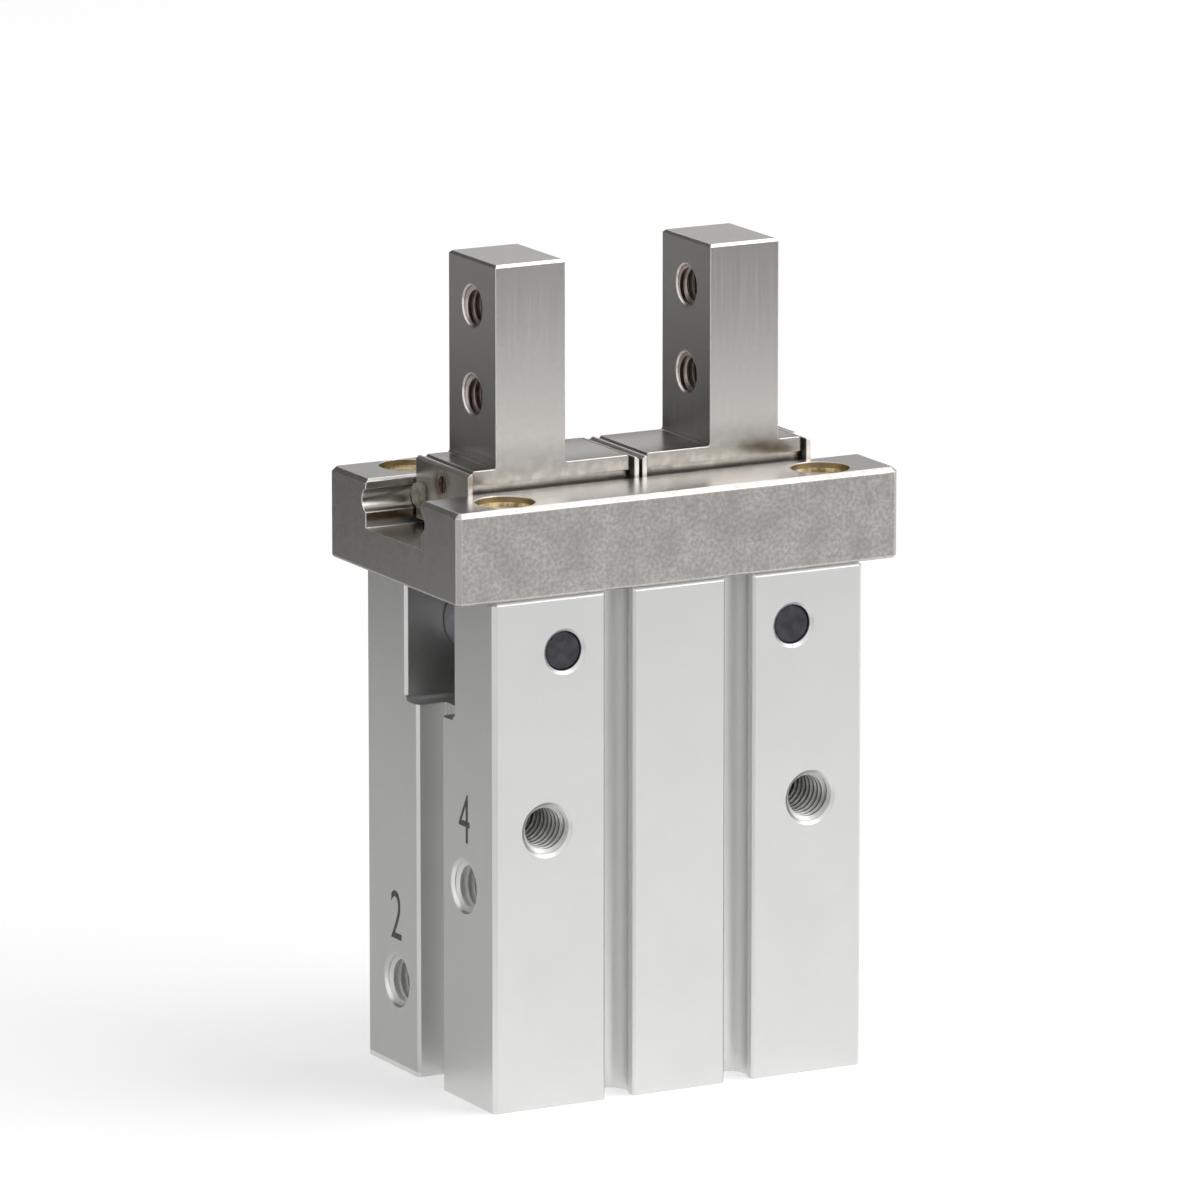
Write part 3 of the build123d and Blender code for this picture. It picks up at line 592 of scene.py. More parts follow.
@dataclass
class ThreadCutter:
    """Geometry Nodes tree that winds the ridges of an internal thread into every hole of a set.

    The ridges have the metric profile: seven eighths of the pitch wide at the wall, a quarter at the crest.

    Attributes:
        wall_share: Ridge width at the wall, as a share of the pitch.
        crest_share: Ridge width at the crest, as a share of the pitch.
        depth_share: Ridge height, as a share of the pitch.
        sink: How far a ridge's foot reaches into the wall, in millimetres.
        steps: Segments in one turn.
        run_out: Share of the length over which a ridge fades in and out.
        sharp: Angle from which an edge of a ridge stays sharp, in degrees.
        tree: The node tree.
        sockets: Identifier of each of its inputs, by the input's name.
    """

    wall_share: float = 0.875
    crest_share: float = 0.25
    depth_share: float = 0.5413
    sink: float = 0.05
    steps: int = 48
    run_out: float = 0.06
    sharp: float = 30.0
    tree: Tree = field(init=False)
    sockets: dict[str, str] = field(init=False)

    def __post_init__(self) -> None:
        """Build the tree with its named inputs."""
        self.tree = bpy.data.node_groups.new("thread_ridges", "GeometryNodeTree")
        face = self.tree.interface
        face.new_socket("Geometry", in_out="OUTPUT", socket_type="NodeSocketGeometry")
        kinds = {
            "Holes": "NodeSocketGeometry",
            "Radius": "NodeSocketFloat",
            "Pitch": "NodeSocketFloat",
            "Start": "NodeSocketFloat",
            "Length": "NodeSocketFloat",
            "Finish": "NodeSocketMaterial",
        }
        self.sockets = {
            name: face.new_socket(name, in_out="INPUT", socket_type=kind).identifier
            for name, kind in kinds.items()
        }
        self.wire()

    def helix(self, radius: Socket, pitch: Socket, length: Socket) -> Socket:
        """Wind the helix that a ridge follows, upright along Z.

        Args:
            radius: Radius of the hole's wall.
            pitch: Pitch of the thread.
            length: Length of the thread.

        Returns:
            The helix, with its normals turned outwards.
        """
        tree = self.tree
        turns = add(tree, "ShaderNodeMath", {0: length, 1: pitch}, operation="DIVIDE")
        foot = add(tree, "ShaderNodeMath", {0: radius, 1: mm(self.sink)}, operation="ADD")
        spiral = add(tree, "GeometryNodeCurveSpiral", {
            "Resolution": self.steps, "Rotations": turns, "Start Radius": foot, "End Radius": foot,
            "Height": length, "Reverse": True,
        })
        return add(tree, "GeometryNodeSetCurveNormal", {"Curve": spiral}, mode="Z_UP")

    def profile(self, pitch: Socket) -> Socket:
        """Draw the ridge's profile, with its foot on the helix and its crest towards the hole's axis.

        Args:
            pitch: Pitch of the thread.

        Returns:
            The closed profile.
        """
        tree = self.tree
        width = add(tree, "ShaderNodeMath", {0: pitch, 1: self.wall_share}, operation="MULTIPLY")
        crest = add(tree, "ShaderNodeMath", {0: pitch, 1: self.crest_share}, operation="MULTIPLY")
        depth = {0: pitch, 1: self.depth_share, 2: mm(self.sink)}
        height = add(tree, "ShaderNodeMath", depth, operation="MULTIPLY_ADD")
        sides = {"Height": height, "Bottom Width": width, "Top Width": crest, "Offset": 0.0}
        flat = add(tree, "GeometryNodeCurvePrimitiveQuadrilateral", sides, mode="TRAPEZOID")
        half = add(tree, "ShaderNodeMath", {0: height, 1: 0.5}, operation="MULTIPLY")
        lift = add(tree, "ShaderNodeCombineXYZ", {"Y": half})
        lifted = add(tree, "GeometryNodeTransform", {"Geometry": flat, "Translation": lift})
        quarter_turn = (0.0, 0.0, math.radians(90))
        return add(tree, "GeometryNodeTransform", {"Geometry": lifted, "Rotation": quarter_turn})

    def fade(self) -> Socket:
        """Run the ridge in and out at its ends.

        Returns:
            Share of its full height that it has along the helix.
        """
        tree = self.tree
        along = add(tree, "GeometryNodeSplineParameter", {}, "Factor")
        to_end = add(tree, "ShaderNodeMath", {0: 1.0, 1: along}, operation="SUBTRACT")
        nearest = add(tree, "ShaderNodeMath", {0: along, 1: to_end}, operation="MINIMUM")
        limits = {"Value": nearest, "From Min": 0.0, "From Max": self.run_out}
        return add(tree, "ShaderNodeMapRange", limits, interpolation_type="SMOOTHSTEP")

    def wire(self) -> None:
        """Wire the tree: a ridge along its helix, one copy in each hole, and the material."""
        tree = self.tree
        given = tree.nodes.new("NodeGroupInput").outputs
        ridge = add(tree, "GeometryNodeCurveToMesh", {
            "Curve": self.helix(given["Radius"], given["Pitch"], given["Length"]),
            "Profile Curve": self.profile(given["Pitch"]),
            "Scale": self.fade(),
            "Fill Caps": True,
        })
        reach = add(tree, "ShaderNodeMath", {0: given["Start"], 1: given["Length"]}, operation="ADD")
        depth = add(tree, "ShaderNodeMath", {0: reach, 1: -1.0}, operation="MULTIPLY")
        down = add(tree, "ShaderNodeCombineXYZ", {"Z": depth})
        sunk = add(tree, "GeometryNodeTransform", {"Geometry": ridge, "Translation": down})
        outward = add(tree, "GeometryNodeInputNamedAttribute", {"Name": "outward"}, data_type="FLOAT_VECTOR")
        facing = add(tree, "FunctionNodeAlignRotationToVector", {"Vector": outward}, axis="Z")
        spots = {"Points": given["Holes"], "Instance": sunk, "Rotation": facing}
        copies = add(tree, "GeometryNodeInstanceOnPoints", spots)
        real = add(tree, "GeometryNodeRealizeInstances", {"Geometry": copies})
        smooth = add(tree, "GeometryNodeSetShadeSmooth", {"Geometry": real})
        finished = add(tree, "GeometryNodeSetMaterial", {"Geometry": smooth, "Material": given["Finish"]})
        add(tree, "NodeGroupOutput", {"Geometry": finished})

    def cut(self, thread: Thread) -> Piece:
        """Wind the ridges into a set of like holes.

        Args:
            thread: The set of holes, its sizes and its finish.

        Returns:
            The finished piece.
        """
        points = bpy.data.meshes.new(f"{thread.name}_points")
        points.from_pydata([[mm(part) for part in bore.mouth] for bore in thread.bores], [], [])
        outward = points.attributes.new("outward", "FLOAT_VECTOR", "POINT")
        for spot, bore in zip(outward.data, thread.bores):
            spot.vector = bore.outward
        ridges = mesh_object(thread.name, points)
        modifier = ridges.modifiers.new("ridges", "NODES")
        modifier.node_group = self.tree
        sizes = {
            "Radius": thread.radius, "Pitch": thread.pitch, "Start": thread.start, "Length": thread.length,
        }
        for socket, length in sizes.items():
            modifier[self.sockets[socket]] = mm(length)
        modifier[self.sockets["Finish"]] = thread.finish.material()
        evaluated = ridges.evaluated_get(bpy.context.evaluated_depsgraph_get())
        mesh = bpy.data.meshes.new_from_object(evaluated)
        mesh.set_sharp_from_angle(angle=math.radians(self.sharp))
        ridges.modifiers.remove(modifier)
        ridges.data = mesh
        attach(ridges, thread.body)
        log.info("%s: %d holes, %d faces", thread.name, len(thread.bores), len(mesh.polygons))
        return ridges


# Sub-assemblies


@dataclass
class PortNumeral:
    """One plain numeral beside a port, marked on the body's left face.

    Attributes:
        text: The numeral.
        y: Place of its middle along Y.
        z: Height of its middle.
        face_x: Where the face lies.
        width: Its width.
        height: Its height.
        thin: How much its strokes are thinned, as a share of the letter size.
        proud: How far the mark stands out of the face, enough to show.
        sink: How far it reaches into the face.
    """

    text: str
    y: float
    z: float
    face_x: float
    width: float = 2.3
    height: float = 5.0
    thin: float = 0.004
    proud: float = 0.01
    sink: float = 0.03

    def build(self, ink: Dull) -> Piece:
        """Build the numeral.

        Args:
            ink: Its finish.

        Returns:
            The finished piece.
        """
        letters = bpy.data.curves.new(f"port_numeral_{self.text}", "FONT")
        letters.body = self.text
        letters.offset = -self.thin
        # Any thickness does, because the mesh is scaled to its size below
        letters.extrude = 0.5
        letters.resolution_u = 6
        writer = bpy.data.objects.new("writer", letters)
        mesh = bpy.data.meshes.new_from_object(writer)
        bpy.data.objects.remove(writer)
        low = Vector(min(vertex.co[axis] for vertex in mesh.vertices) for axis in range(3))
        high = Vector(max(vertex.co[axis] for vertex in mesh.vertices) for axis in range(3))
        middle = (low + high) / 2
        size = high - low
        thickness = self.proud + self.sink
        scale = (mm(self.width) / size.x, mm(self.height) / size.y, mm(thickness) / size.z)
        outer = self.face_x - self.proud + thickness / 2
        # Text runs towards -Y and stands up along Z, so that it reads from the left of the body
        onto_face = Matrix((
            (0, 0, -1, mm(outer)),
            (-1, 0, 0, mm(self.y)),
            (0, 1, 0, mm(self.z)),
            (0, 0, 0, 1),
        ))
        mesh.transform(onto_face @ Matrix.Diagonal((*scale, 1)) @ Matrix.Translation(-middle))
        mesh.materials.clear()
        mesh.materials.append(ink.material())
        mark = mesh_object(f"port_numeral_{self.text}", mesh)
        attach(mark, "housing")
        log.info("%s: %.1f high", mark.name, self.height)
        return mark


@dataclass
class CylinderBody:
    """Aluminium cylinder body with its bottom cap, threads, ports and port numerals.

    Attributes:
        thread: Nominal radius of its threads.
        pitch: Their pitch.
        thread_start: Depth at which they start.
        thread_depth: How deep their cut goes.
        mount_length: Length of the front and back threads.
        mount_x: Distance of those threads from the middle.
        mount_z: Their height.
        bottom_length: Length of the bottom threads.
        bottom_x: Distance of those threads from the middle, along X.
        bottom_y: The same along Y.
        groove_x: Distance of the sensor grooves from the middle, along X.
        groove_y: The same along Y, for the middles of their round bottoms.
        groove_radius: Radius of their round bottoms.
        groove_reach: A length that takes in the whole height of the body.
        port_length: Length of the ports' threads.
        port_y: Distance of the ports from the middle.
        port_heights: Heights of the upper and the lower port.
        numeral_y: Distance of the numerals from the middle.
        numeral_heights: Heights of the upper and the lower numeral.
    """

    thread: float = 2.5
    pitch: float = 0.8
    thread_start: float = 0.25
    thread_depth: float = 8.5
    mount_length: float = 7.5
    mount_x: float = 15.0
    mount_z: float = 28.5
    bottom_length: float = 5.5
    bottom_x: float = 16.0
    bottom_y: float = 10.0
    groove_x: float = 6.82
    groove_y: float = 11.6
    groove_radius: float = 1.95
    groove_reach: float = 100.0
    port_length: float = 5.5
    port_y: float = 7.35
    port_heights: tuple[float, float] = (22.05, 9.1)
    numeral_y: float = 7.45
    numeral_heights: tuple[float, float] = (29.1, 15.9)

    def build(self, cutter: ThreadCutter) -> None:
        """Dress the body's pieces and add its threads and numerals.

        Args:
            cutter: The tree that winds thread ridges.
        """
        left_face = box_corners("body")[0][0]
        back_face = box_corners("body")[1][1]
        faces = (-1, 1)
        ports = tuple((left_face, face * self.port_y, z) for face, z in zip(faces, self.port_heights))
        mounts = corners(self.mount_x, back_face, self.mount_z)
        bottoms = corners(self.bottom_x, self.bottom_y, 0.0)
        self.dress_body(ports, mounts, bottoms)
        self.dress_inside()
        # Freshly cut aluminium threads: bright and dry in the ports, darker as painted shade in the others
        dry = Metal(
            "cut_aluminium_thread", "#F0F0EE", "#E2E2E0", patch_size=1.0, roughness=0.58, line_depth=0.0004,
            edge=0.04,
        )
        shade_darkened = Metal(
            "shade_darkened_aluminium_thread", "#C6C6C4", "#AEAEAC", patch_size=1.0, roughness=0.45, line_depth=0.0004,
            edge=0.04,
        )
        wide = tuple(Bore(place, (0, math.copysign(1, place[1]), 0)) for place in mounts)
        low = tuple(Bore(place, (0, 0, -1)) for place in bottoms)
        left = tuple(Bore(place, (-1, 0, 0)) for place in ports)
        for name, bores, length, finish in (
            ("mounting_thread_ridges", wide, self.mount_length, shade_darkened),
            ("bottom_thread_ridges", low, self.bottom_length, shade_darkened),
            ("port_thread_ridges", left, self.port_length, dry),
        ):
            cutter.cut(Thread(
                name, bores, self.thread, self.pitch, self.thread_start, length, "housing", "body_aluminium",
                finish,
            ))
        # Laser mark: the skin is darkened without depth
        ink = Dull("laser_mark", "#4A494B", "#67666A", patch_size=0.5, roughness=0.55)
        for numeral, face, height in zip(("4", "2"), faces, self.numeral_heights):
            PortNumeral(numeral, face * self.numeral_y, height, left_face).build(ink)

    def dress_body(
        self, ports: tuple[Place, ...], mounts: tuple[Place, ...], bottoms: tuple[Place, ...]
    ) -> None:
        """Dress the body, with its sensor grooves and cut thread walls, darker as painted shade in all but
        the ports.

        Args:
            ports: Mouths of the ports.
            mounts: Mouths of the front and back threads.
            bottoms: Mouths of the bottom threads.
        """
        bare_and_shaded = "#B8B8B6"
        wall = self.thread + WALL_MARGIN
        grooves = corners(self.groove_x, self.groove_y, 0.0)
        groove_wall = self.groove_radius + WALL_MARGIN
        # Drawn aluminium with a clear matt anodised skin: a soft, even grey-white sheen
        dress(
            Metal(
                "clear_anodised_aluminium", "#E0E0DE", "#DBDBDA", patch_size=8.0, patch_share=0.6,
                roughness=0.4, roughness_spread=0.03, line_size=0.16, line_depth=0.0015, edge=0.1,
                stains_and_painted_light=(
                    StainAndPaintedLight("#E8E8E6", Axis.Z, grooves, groove_wall, 0.08, self.groove_reach),
                    StainAndPaintedLight("#EDEDEB", Axis.X, ports, wall, 0.6, self.thread_depth),
                    # Painted shade: the walls of the front, back and bottom threads are darker
                    StainAndPaintedLight(bare_and_shaded, Axis.Y, mounts, wall, 0.05, self.thread_depth),
                    StainAndPaintedLight(bare_and_shaded, Axis.Z, bottoms, wall, 0.05, self.thread_depth),
                ),
            ),
            "body",
        )

    def dress_inside(self) -> None:
        """Dress the bottom cap with its ring and gasket, and the seals, bumpers and bush inside."""
        # Turned cap with rings from the lathe, anodised as the body is
        turned = Metal(
            "turned_anodised_aluminium", "#CFCFCD", "#BDBDBC", roughness=0.36, lines=Lines.ROUND_Z,
            line_size=0.2, line_depth=0.006,
        )
        dress(turned, "end_cap")
        # Phosphated spring steel: dark grey, dull and a little oily
        spring = Metal("phosphated_spring_steel", "#3F3D3B", "#57524C", patch_size=1.2, roughness=0.5)
        dress(spring, "retaining_ring")
        # Moulded nitrile rubber: nearly black, with a faint bloom
        rubber = Dull("moulded_nitrile_rubber", "#161617", "#232324")
        dress(rubber, "cap_gasket", "rod_seal", "piston_seal")
        # Cast urethane: amber and half glossy
        urethane = Dull("cast_urethane", "#B98A3C", "#C99C50", roughness=0.35)
        dress(urethane, "lower_bumper", "upper_bumper")
        # Sintered bronze: brown yellow and grainy, because it is pressed from powder
        bronze = Metal("sintered_bronze", "#B08A4E", "#8E6C3A", patch_size=0.5, roughness=0.42, line_size=0.1)
        dress(bronze, "rod_bush", "seal_holder")


@dataclass
class GuideRail:
    """Hardened guide block with its screws and dowels, and the levers' shafts below it.

    Attributes:
        screw_x: Distance of the screws from the middle, along X.
        screw_y: The same along Y.
        recess_radius: Radius of a screw's recess.
        recess_reach: Depth that the oil in the recess reaches to.
        painted_glint_depth: Depth in the recess of a band of painted glints, cream spots standing in for
            highlights.
        painted_glint_reach: How far those painted glints reach up and down from there.
        raceway_y: Distance from the middle of the raceways' darker brown lower lips, along Y.
        raceway_low: How far those lips lie below the guide's top.
    """

    screw_x: float = 17.9
    screw_y: float = 10.4
    recess_radius: float = 3.0
    recess_reach: float = 4.5
    painted_glint_depth: float = 0.85
    painted_glint_reach: float = 0.22
    raceway_y: float = 6.4
    raceway_low: float = 3.8

    def build(self) -> None:
        """Dress the guide's pieces."""
        half_length, _, top = box_corners("guide")[1]
        screws = corners(self.screw_x, self.screw_y, top)
        painted_glints = corners(self.screw_x, self.screw_y, top - self.painted_glint_depth)
        raceways = tuple((0.0, face * self.raceway_y, top - self.raceway_low) for face in (-1, 1))
        wall = self.recess_radius
        # Hardened stainless steel, barrel-tumbled to a mottled grey, then ground on top and in the channel
        dress(
            GuideSteel(
                "hardened_ground_stainless_steel", "#AAA7A3", "#D2CFCB", patch_size=0.42, patch_share=0.8,
                roughness=0.4, roughness_spread=0.04, line_size=0.12, line_depth=0.001, edge=0.2,
                # Lighter edges: handling polish, and partly a painted highlight
                edge_share=0.85,
                stains_and_painted_light=(
                    StainAndPaintedLight("#A3916C", Axis.Z, screws, wall, 0.08, self.recess_reach, least=0.7),
                    # Painted glints: cream spots low on each screw recess's wall stand in for highlights
                    StainAndPaintedLight("#FFF6E0", Axis.Z, painted_glints, wall, 0.08, self.painted_glint_reach, least=0.0, patch_size=1.3),
                    StainAndPaintedLight("#8A745E", Axis.X, raceways, 0.45, 0.35, half_length, least=0.8),
                ),
            ),
            "guide",
        )
        # Oiled, zinc-plated screws: yellowish. Their bright edges are worn, and partly a painted highlight.
        plated = Metal(
            "oiled_plated_screw_steel", "#EADDC0", "#A8946C", patch_size=0.9, roughness=0.42, edge=0.3,
            edge_colour="#FFF3DF", edge_share=0.9,
        )
        dress(plated, "guide_screws", "piston_nut")
        # Hardened pins and rollers with ground sides
        bearing = Metal(
            "ground_bearing_steel", "#B9B7B4", "#A5A29E", roughness=0.18, lines=Lines.ROUND_Y,
            line_depth=0.001,
        )
        dress(bearing, "guide_dowels", "rod_head_pin")
        # Blackened shaft ends: nearly black, with a blue cast
        blackened = Metal(
            "blackened_shaft_steel", "#525258", "#403F42", patch_size=1.1, patch_share=0.8, roughness=0.36,
            line_size=0.12, line_depth=0.003,
        )
        for side in ("left", "right"):
            dress(bearing, f"lever_roller_{side}", f"roller_pin_{side}")
            dress(blackened, f"lever_shaft_{side}")


@dataclass
class Jaw:
    """One finger with its carriage, end plates, screws and balls.

    Attributes:
        side: Its name, left or right.
        sign: Minus one on the left and one on the right.
        bar_x: Distance of the bar's middle from the gripper's middle.
        bar_half: Half the bar's thickness.
        thread: Nominal radius of its attachment threads.
        pitch: Their pitch.
        thread_start: Depth at which they start.
        thread_out: How far the oil in them reaches past the bar's faces.
        thread_heights: Their heights.
        carriage_half: Half the carriage's width, where oil and painted shade darken the finger.
    """

    side: str
    sign: int
    bar_x: float = 12.15
    bar_half: float = 3.9
    thread: float = 2.0
    pitch: float = 0.7
    thread_start: float = 0.15
    thread_out: float = 0.5
    thread_heights: tuple[float, float] = (79.3, 70.3)
    carriage_half: float = 5.9

    def build(self, cutter: ThreadCutter) -> None:
        """Dress the jaw's pieces and add its threads.

        Args:
            cutter: The tree that winds thread ridges.
        """
        half_length, _, guide_top = box_corners("guide")[1]
        self.dress_finger(half_length, guide_top)
        # Rolled stainless sheet, with a brown stain that fades away from the screw
        sheet = SheetSteel(
            "rolled_stainless_sheet", "#B8B7AE", "#A5A59C", patch_size=1.5, roughness=0.32,
            lines=Lines.ALONG_Y, roughness_spread=0.02, line_size=0.1, line_depth=0.0003, edge=0.12,
            # Lighter edges: handling polish, and partly a painted highlight
            edge_share=0.7,
            stains_and_painted_light=(StainAndPaintedLight("#7A5A48", Axis.X, ((0.0, 0.0, guide_top),), 0.9, 1.4, half_length, least=0.3),),
        )
        dress(sheet, f"inner_stopper_{self.side}", f"outer_stopper_{self.side}")
        # Small screws, browned by heat and oil
        browned = Metal("browned_screw_steel", "#6B544B", "#42312A", patch_size=0.5, roughness=0.2)
        dress(browned, f"stopper_screws_{self.side}")
        # Bearing balls, lapped to a mirror
        lapped = Metal(
            "lapped_ball_steel", "#C4C3C2", "#B5B3B1", roughness=0.08, roughness_spread=0.02,
            line_depth=0.0004,
        )
        dress(lapped, f"bearing_balls_{self.side}")
        # Cut steel thread, stained by thread oil to a pinkish brown
        stained = Metal(
            "stained_steel_thread", "#C2B6B1", "#A0928D", patch_size=0.8, roughness=0.34, line_depth=0.0004,
            edge=0.04,
        )
        outer_x = self.sign * (self.bar_x + self.bar_half)
        bores = tuple(Bore((outer_x, 0, height), (self.sign, 0, 0)) for height in self.thread_heights)
        cutter.cut(Thread(
            f"finger_thread_ridges_{self.side}", bores, self.thread, self.pitch, self.thread_start,
            2 * (self.bar_half - self.thread_start), f"jaw_{self.side}", "finger_steel", stained,
        ))

    def dress_finger(self, half_length: float, guide_top: float) -> None:
        """Dress the finger, with the oil on it.

        Args:
            half_length: Half the guide's length.
            guide_top: Height of the guide's top.
        """
        threads = tuple((side * self.bar_x, 0.0, z) for side in (-1, 1) for z in self.thread_heights)
        channel = tuple((0.0, face * self.carriage_half, guide_top) for face in (-1, 1))
        wall = self.thread + WALL_MARGIN
        # Stainless steel ground with a belt along the bar: fine upright lines. Its threads keep brown oil.
        dress(
            Metal(
                "belt_ground_stainless_steel", "#E7E4DF", "#D6D3CE", patch_size=0.5, patch_share=0.4,
                roughness=0.25, roughness_spread=0.012, lines=Lines.ALONG_Z, line_size=0.12,
                # Lighter edges: handling polish, and partly a painted highlight
                line_depth=0.0003, line_pull=0.4, edge=0.16, edge_share=0.6,
                stains_and_painted_light=(
                    StainAndPaintedLight("#8C7F79", Axis.X, threads, wall, 0.08, self.bar_half + self.thread_out),
                    # Darker towards the channel: an oil film, and painted shade on the flange's lower front
                    StainAndPaintedLight("#AFABA5", Axis.X, channel, 1.2, 4.3, half_length, least=0.75),
                ),
            ),
            f"finger_{self.side}",
        )


@dataclass
class GreaseDab:
    """Dab of grease squeezed out of the back ball row, on the left outer plate's ear.

    Attributes:
        proud: How far its middle stands off the plate.
        y: Place of its middle along Y.
        down: How far its middle lies below the plate's top.
        size: Its half sizes along X, Y and Z.
    """

    proud: float = 0.25
    y: float = 4.5
    down: float = 3.6
    size: Place = (0.75, 1.05, 1.2)

    def build(self) -> Piece:
        """Build the dab as a lumpy drop.

        Returns:
            The finished piece.
        """
        low, high = box_corners("outer_stopper_left")
        centre = (low[0] - self.proud, self.y, high[2] - self.down)
        shape = bmesh.new()
        bmesh.ops.create_icosphere(shape, subdivisions=4, radius=1.0)
        for vertex in shape.verts:
            # Two waves, one slanting and one across, give it its lumps
            slanting = 0.09 * math.sin(5 * vertex.co.z + 2 * vertex.co.y)
            lump = 1 + slanting + 0.08 * math.cos(7 * vertex.co.y + 1)
            spot = (part * half * lump for part, half in zip(vertex.co, self.size))
            vertex.co = Vector(mm(middle + part) for middle, part in zip(centre, spot))
        mesh = bpy.data.meshes.new("grease_dab")
        shape.to_mesh(mesh)
        shape.free()
        mesh.shade_smooth()
        # Bearing grease: wet, half clear, and grey from the steel
        grease = Dull(
            "bearing_grease", "#B4B2A1", "#8A8775", patch_size=0.9, roughness=0.14, grain_size=0.6,
            grain_depth=0.08, ior=1.47, clearness=0.2,
        )
        mesh.materials.append(grease.material())
        dab = mesh_object("grease_dab", mesh)
        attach(dab, "jaw_left")
        log.info("%s: on the left outer plate", dab.name)
        return dab


@dataclass
class LeverDrive:
    """Bell-crank levers, rod head, rod and piston."""

    def build(self) -> None:
        """Dress the drive's pieces."""
        # Hardened lever steel under a film of grease
        greased = Metal("greased_hardened_steel", "#A5A5AA", "#85858B", patch_size=1.5, roughness=0.4)
        dress(greased, "lever_left", "lever_right", "rod_head")
        # Hard-chromed rod, polished round
        chromed = Metal(
            "hard_chromed_rod", "#CCCDCF", "#BFC0C2", roughness=0.12, lines=Lines.ROUND_Z, line_depth=0.0008
        )
        dress(chromed, "piston_rod", "magnet_washer")
        # Turned piston, anodised
        turned = Metal("turned_piston_aluminium", "#C9C9C6", "#B4B4B1", roughness=0.35, lines=Lines.ROUND_Z)
        dress(turned, "piston")
        # Bonded magnet: black, dull and grainy
        magnet = Metal("bonded_magnet", "#3A3836", "#4A4643", patch_size=0.3, roughness=0.6)
        dress(magnet, "magnet_ring")


# Studio


@dataclass(frozen=True)
class Flag:
    """Grey card that only reflections see, as a photographer sets beside bright metal to give it shape.

    Attributes:
        name: Its name.
        start: The point on the floor that its rows are measured from, along X and Y.
        bearing: Direction in which it lies from there, in degrees from +X towards +Y.
        half_width: Half its width.
        rows: Its rows from the near end on: distance, height above the floor and brightness.
    """

    name: str
    start: tuple[float, float]
    bearing: float
    half_width: float
    rows: tuple[Place, ...]

    def build(self) -> Piece:
        """Build the card.

        Returns:
            The card.
        """
        turn = math.radians(self.bearing)
        origin = Vector((*self.start, 0))
        out = Vector((math.cos(turn), math.sin(turn), 0))
        across = Vector((-math.sin(turn), math.cos(turn), 0)) * self.half_width
        points = [
            (origin + out * distance + side * across + Vector((0, 0, height))) / 1000
            for distance, height, _ in self.rows
            for side in (-1, 1)
        ]
        faces = [(row, row + 1, row + 3, row + 2) for row in range(0, len(points) - 2, 2)]
        mesh = bpy.data.meshes.new(self.name)
        mesh.from_pydata(points, [], faces)
        shades = mesh.attributes.new("shade", "FLOAT", "POINT")
        for number, spot in enumerate(shades.data):
            spot.value = self.rows[number // 2][2]
        made = bpy.data.materials.new(self.name)
        tree = new_tree(made)
        shade = add(tree, "ShaderNodeAttribute", {}, "Fac", attribute_name="shade")
        glow = add(tree, "ShaderNodeEmission", {"Color": WHITE, "Strength": shade})
        add(tree, "ShaderNodeOutputMaterial", {"Surface": glow})
        mesh.materials.append(made)
        card = mesh_object(self.name, mesh)
        card.visible_camera = False
        card.visible_diffuse = False
        card.visible_shadow = False
        card.visible_transmission = False
        return card


@dataclass(frozen=True)
class Softbox:
    """Square softbox.

    Attributes:
        name: Its name.
        place: Where it hangs.
        aim: The point that it faces.
        size: Length of its side.
        power: Its power in watts.
    """

    name: str
    place: Place
    aim: Place
    size: float
    power: float

    def build(self) -> Piece:
        """Hang the softbox.

        Returns:
            Its lamp.
        """
        light = bpy.data.lights.new(self.name, "AREA")
        light.size = mm(self.size)
        light.energy = self.power
        lamp = bpy.data.objects.new(self.name, light)
        bpy.context.scene.collection.objects.link(lamp)
        lamp.location = [mm(part) for part in self.place]
        line = Vector(self.aim) - Vector(self.place)
        lamp.rotation_euler = line.to_track_quat("-Z", "Y").to_euler()
        return lamp


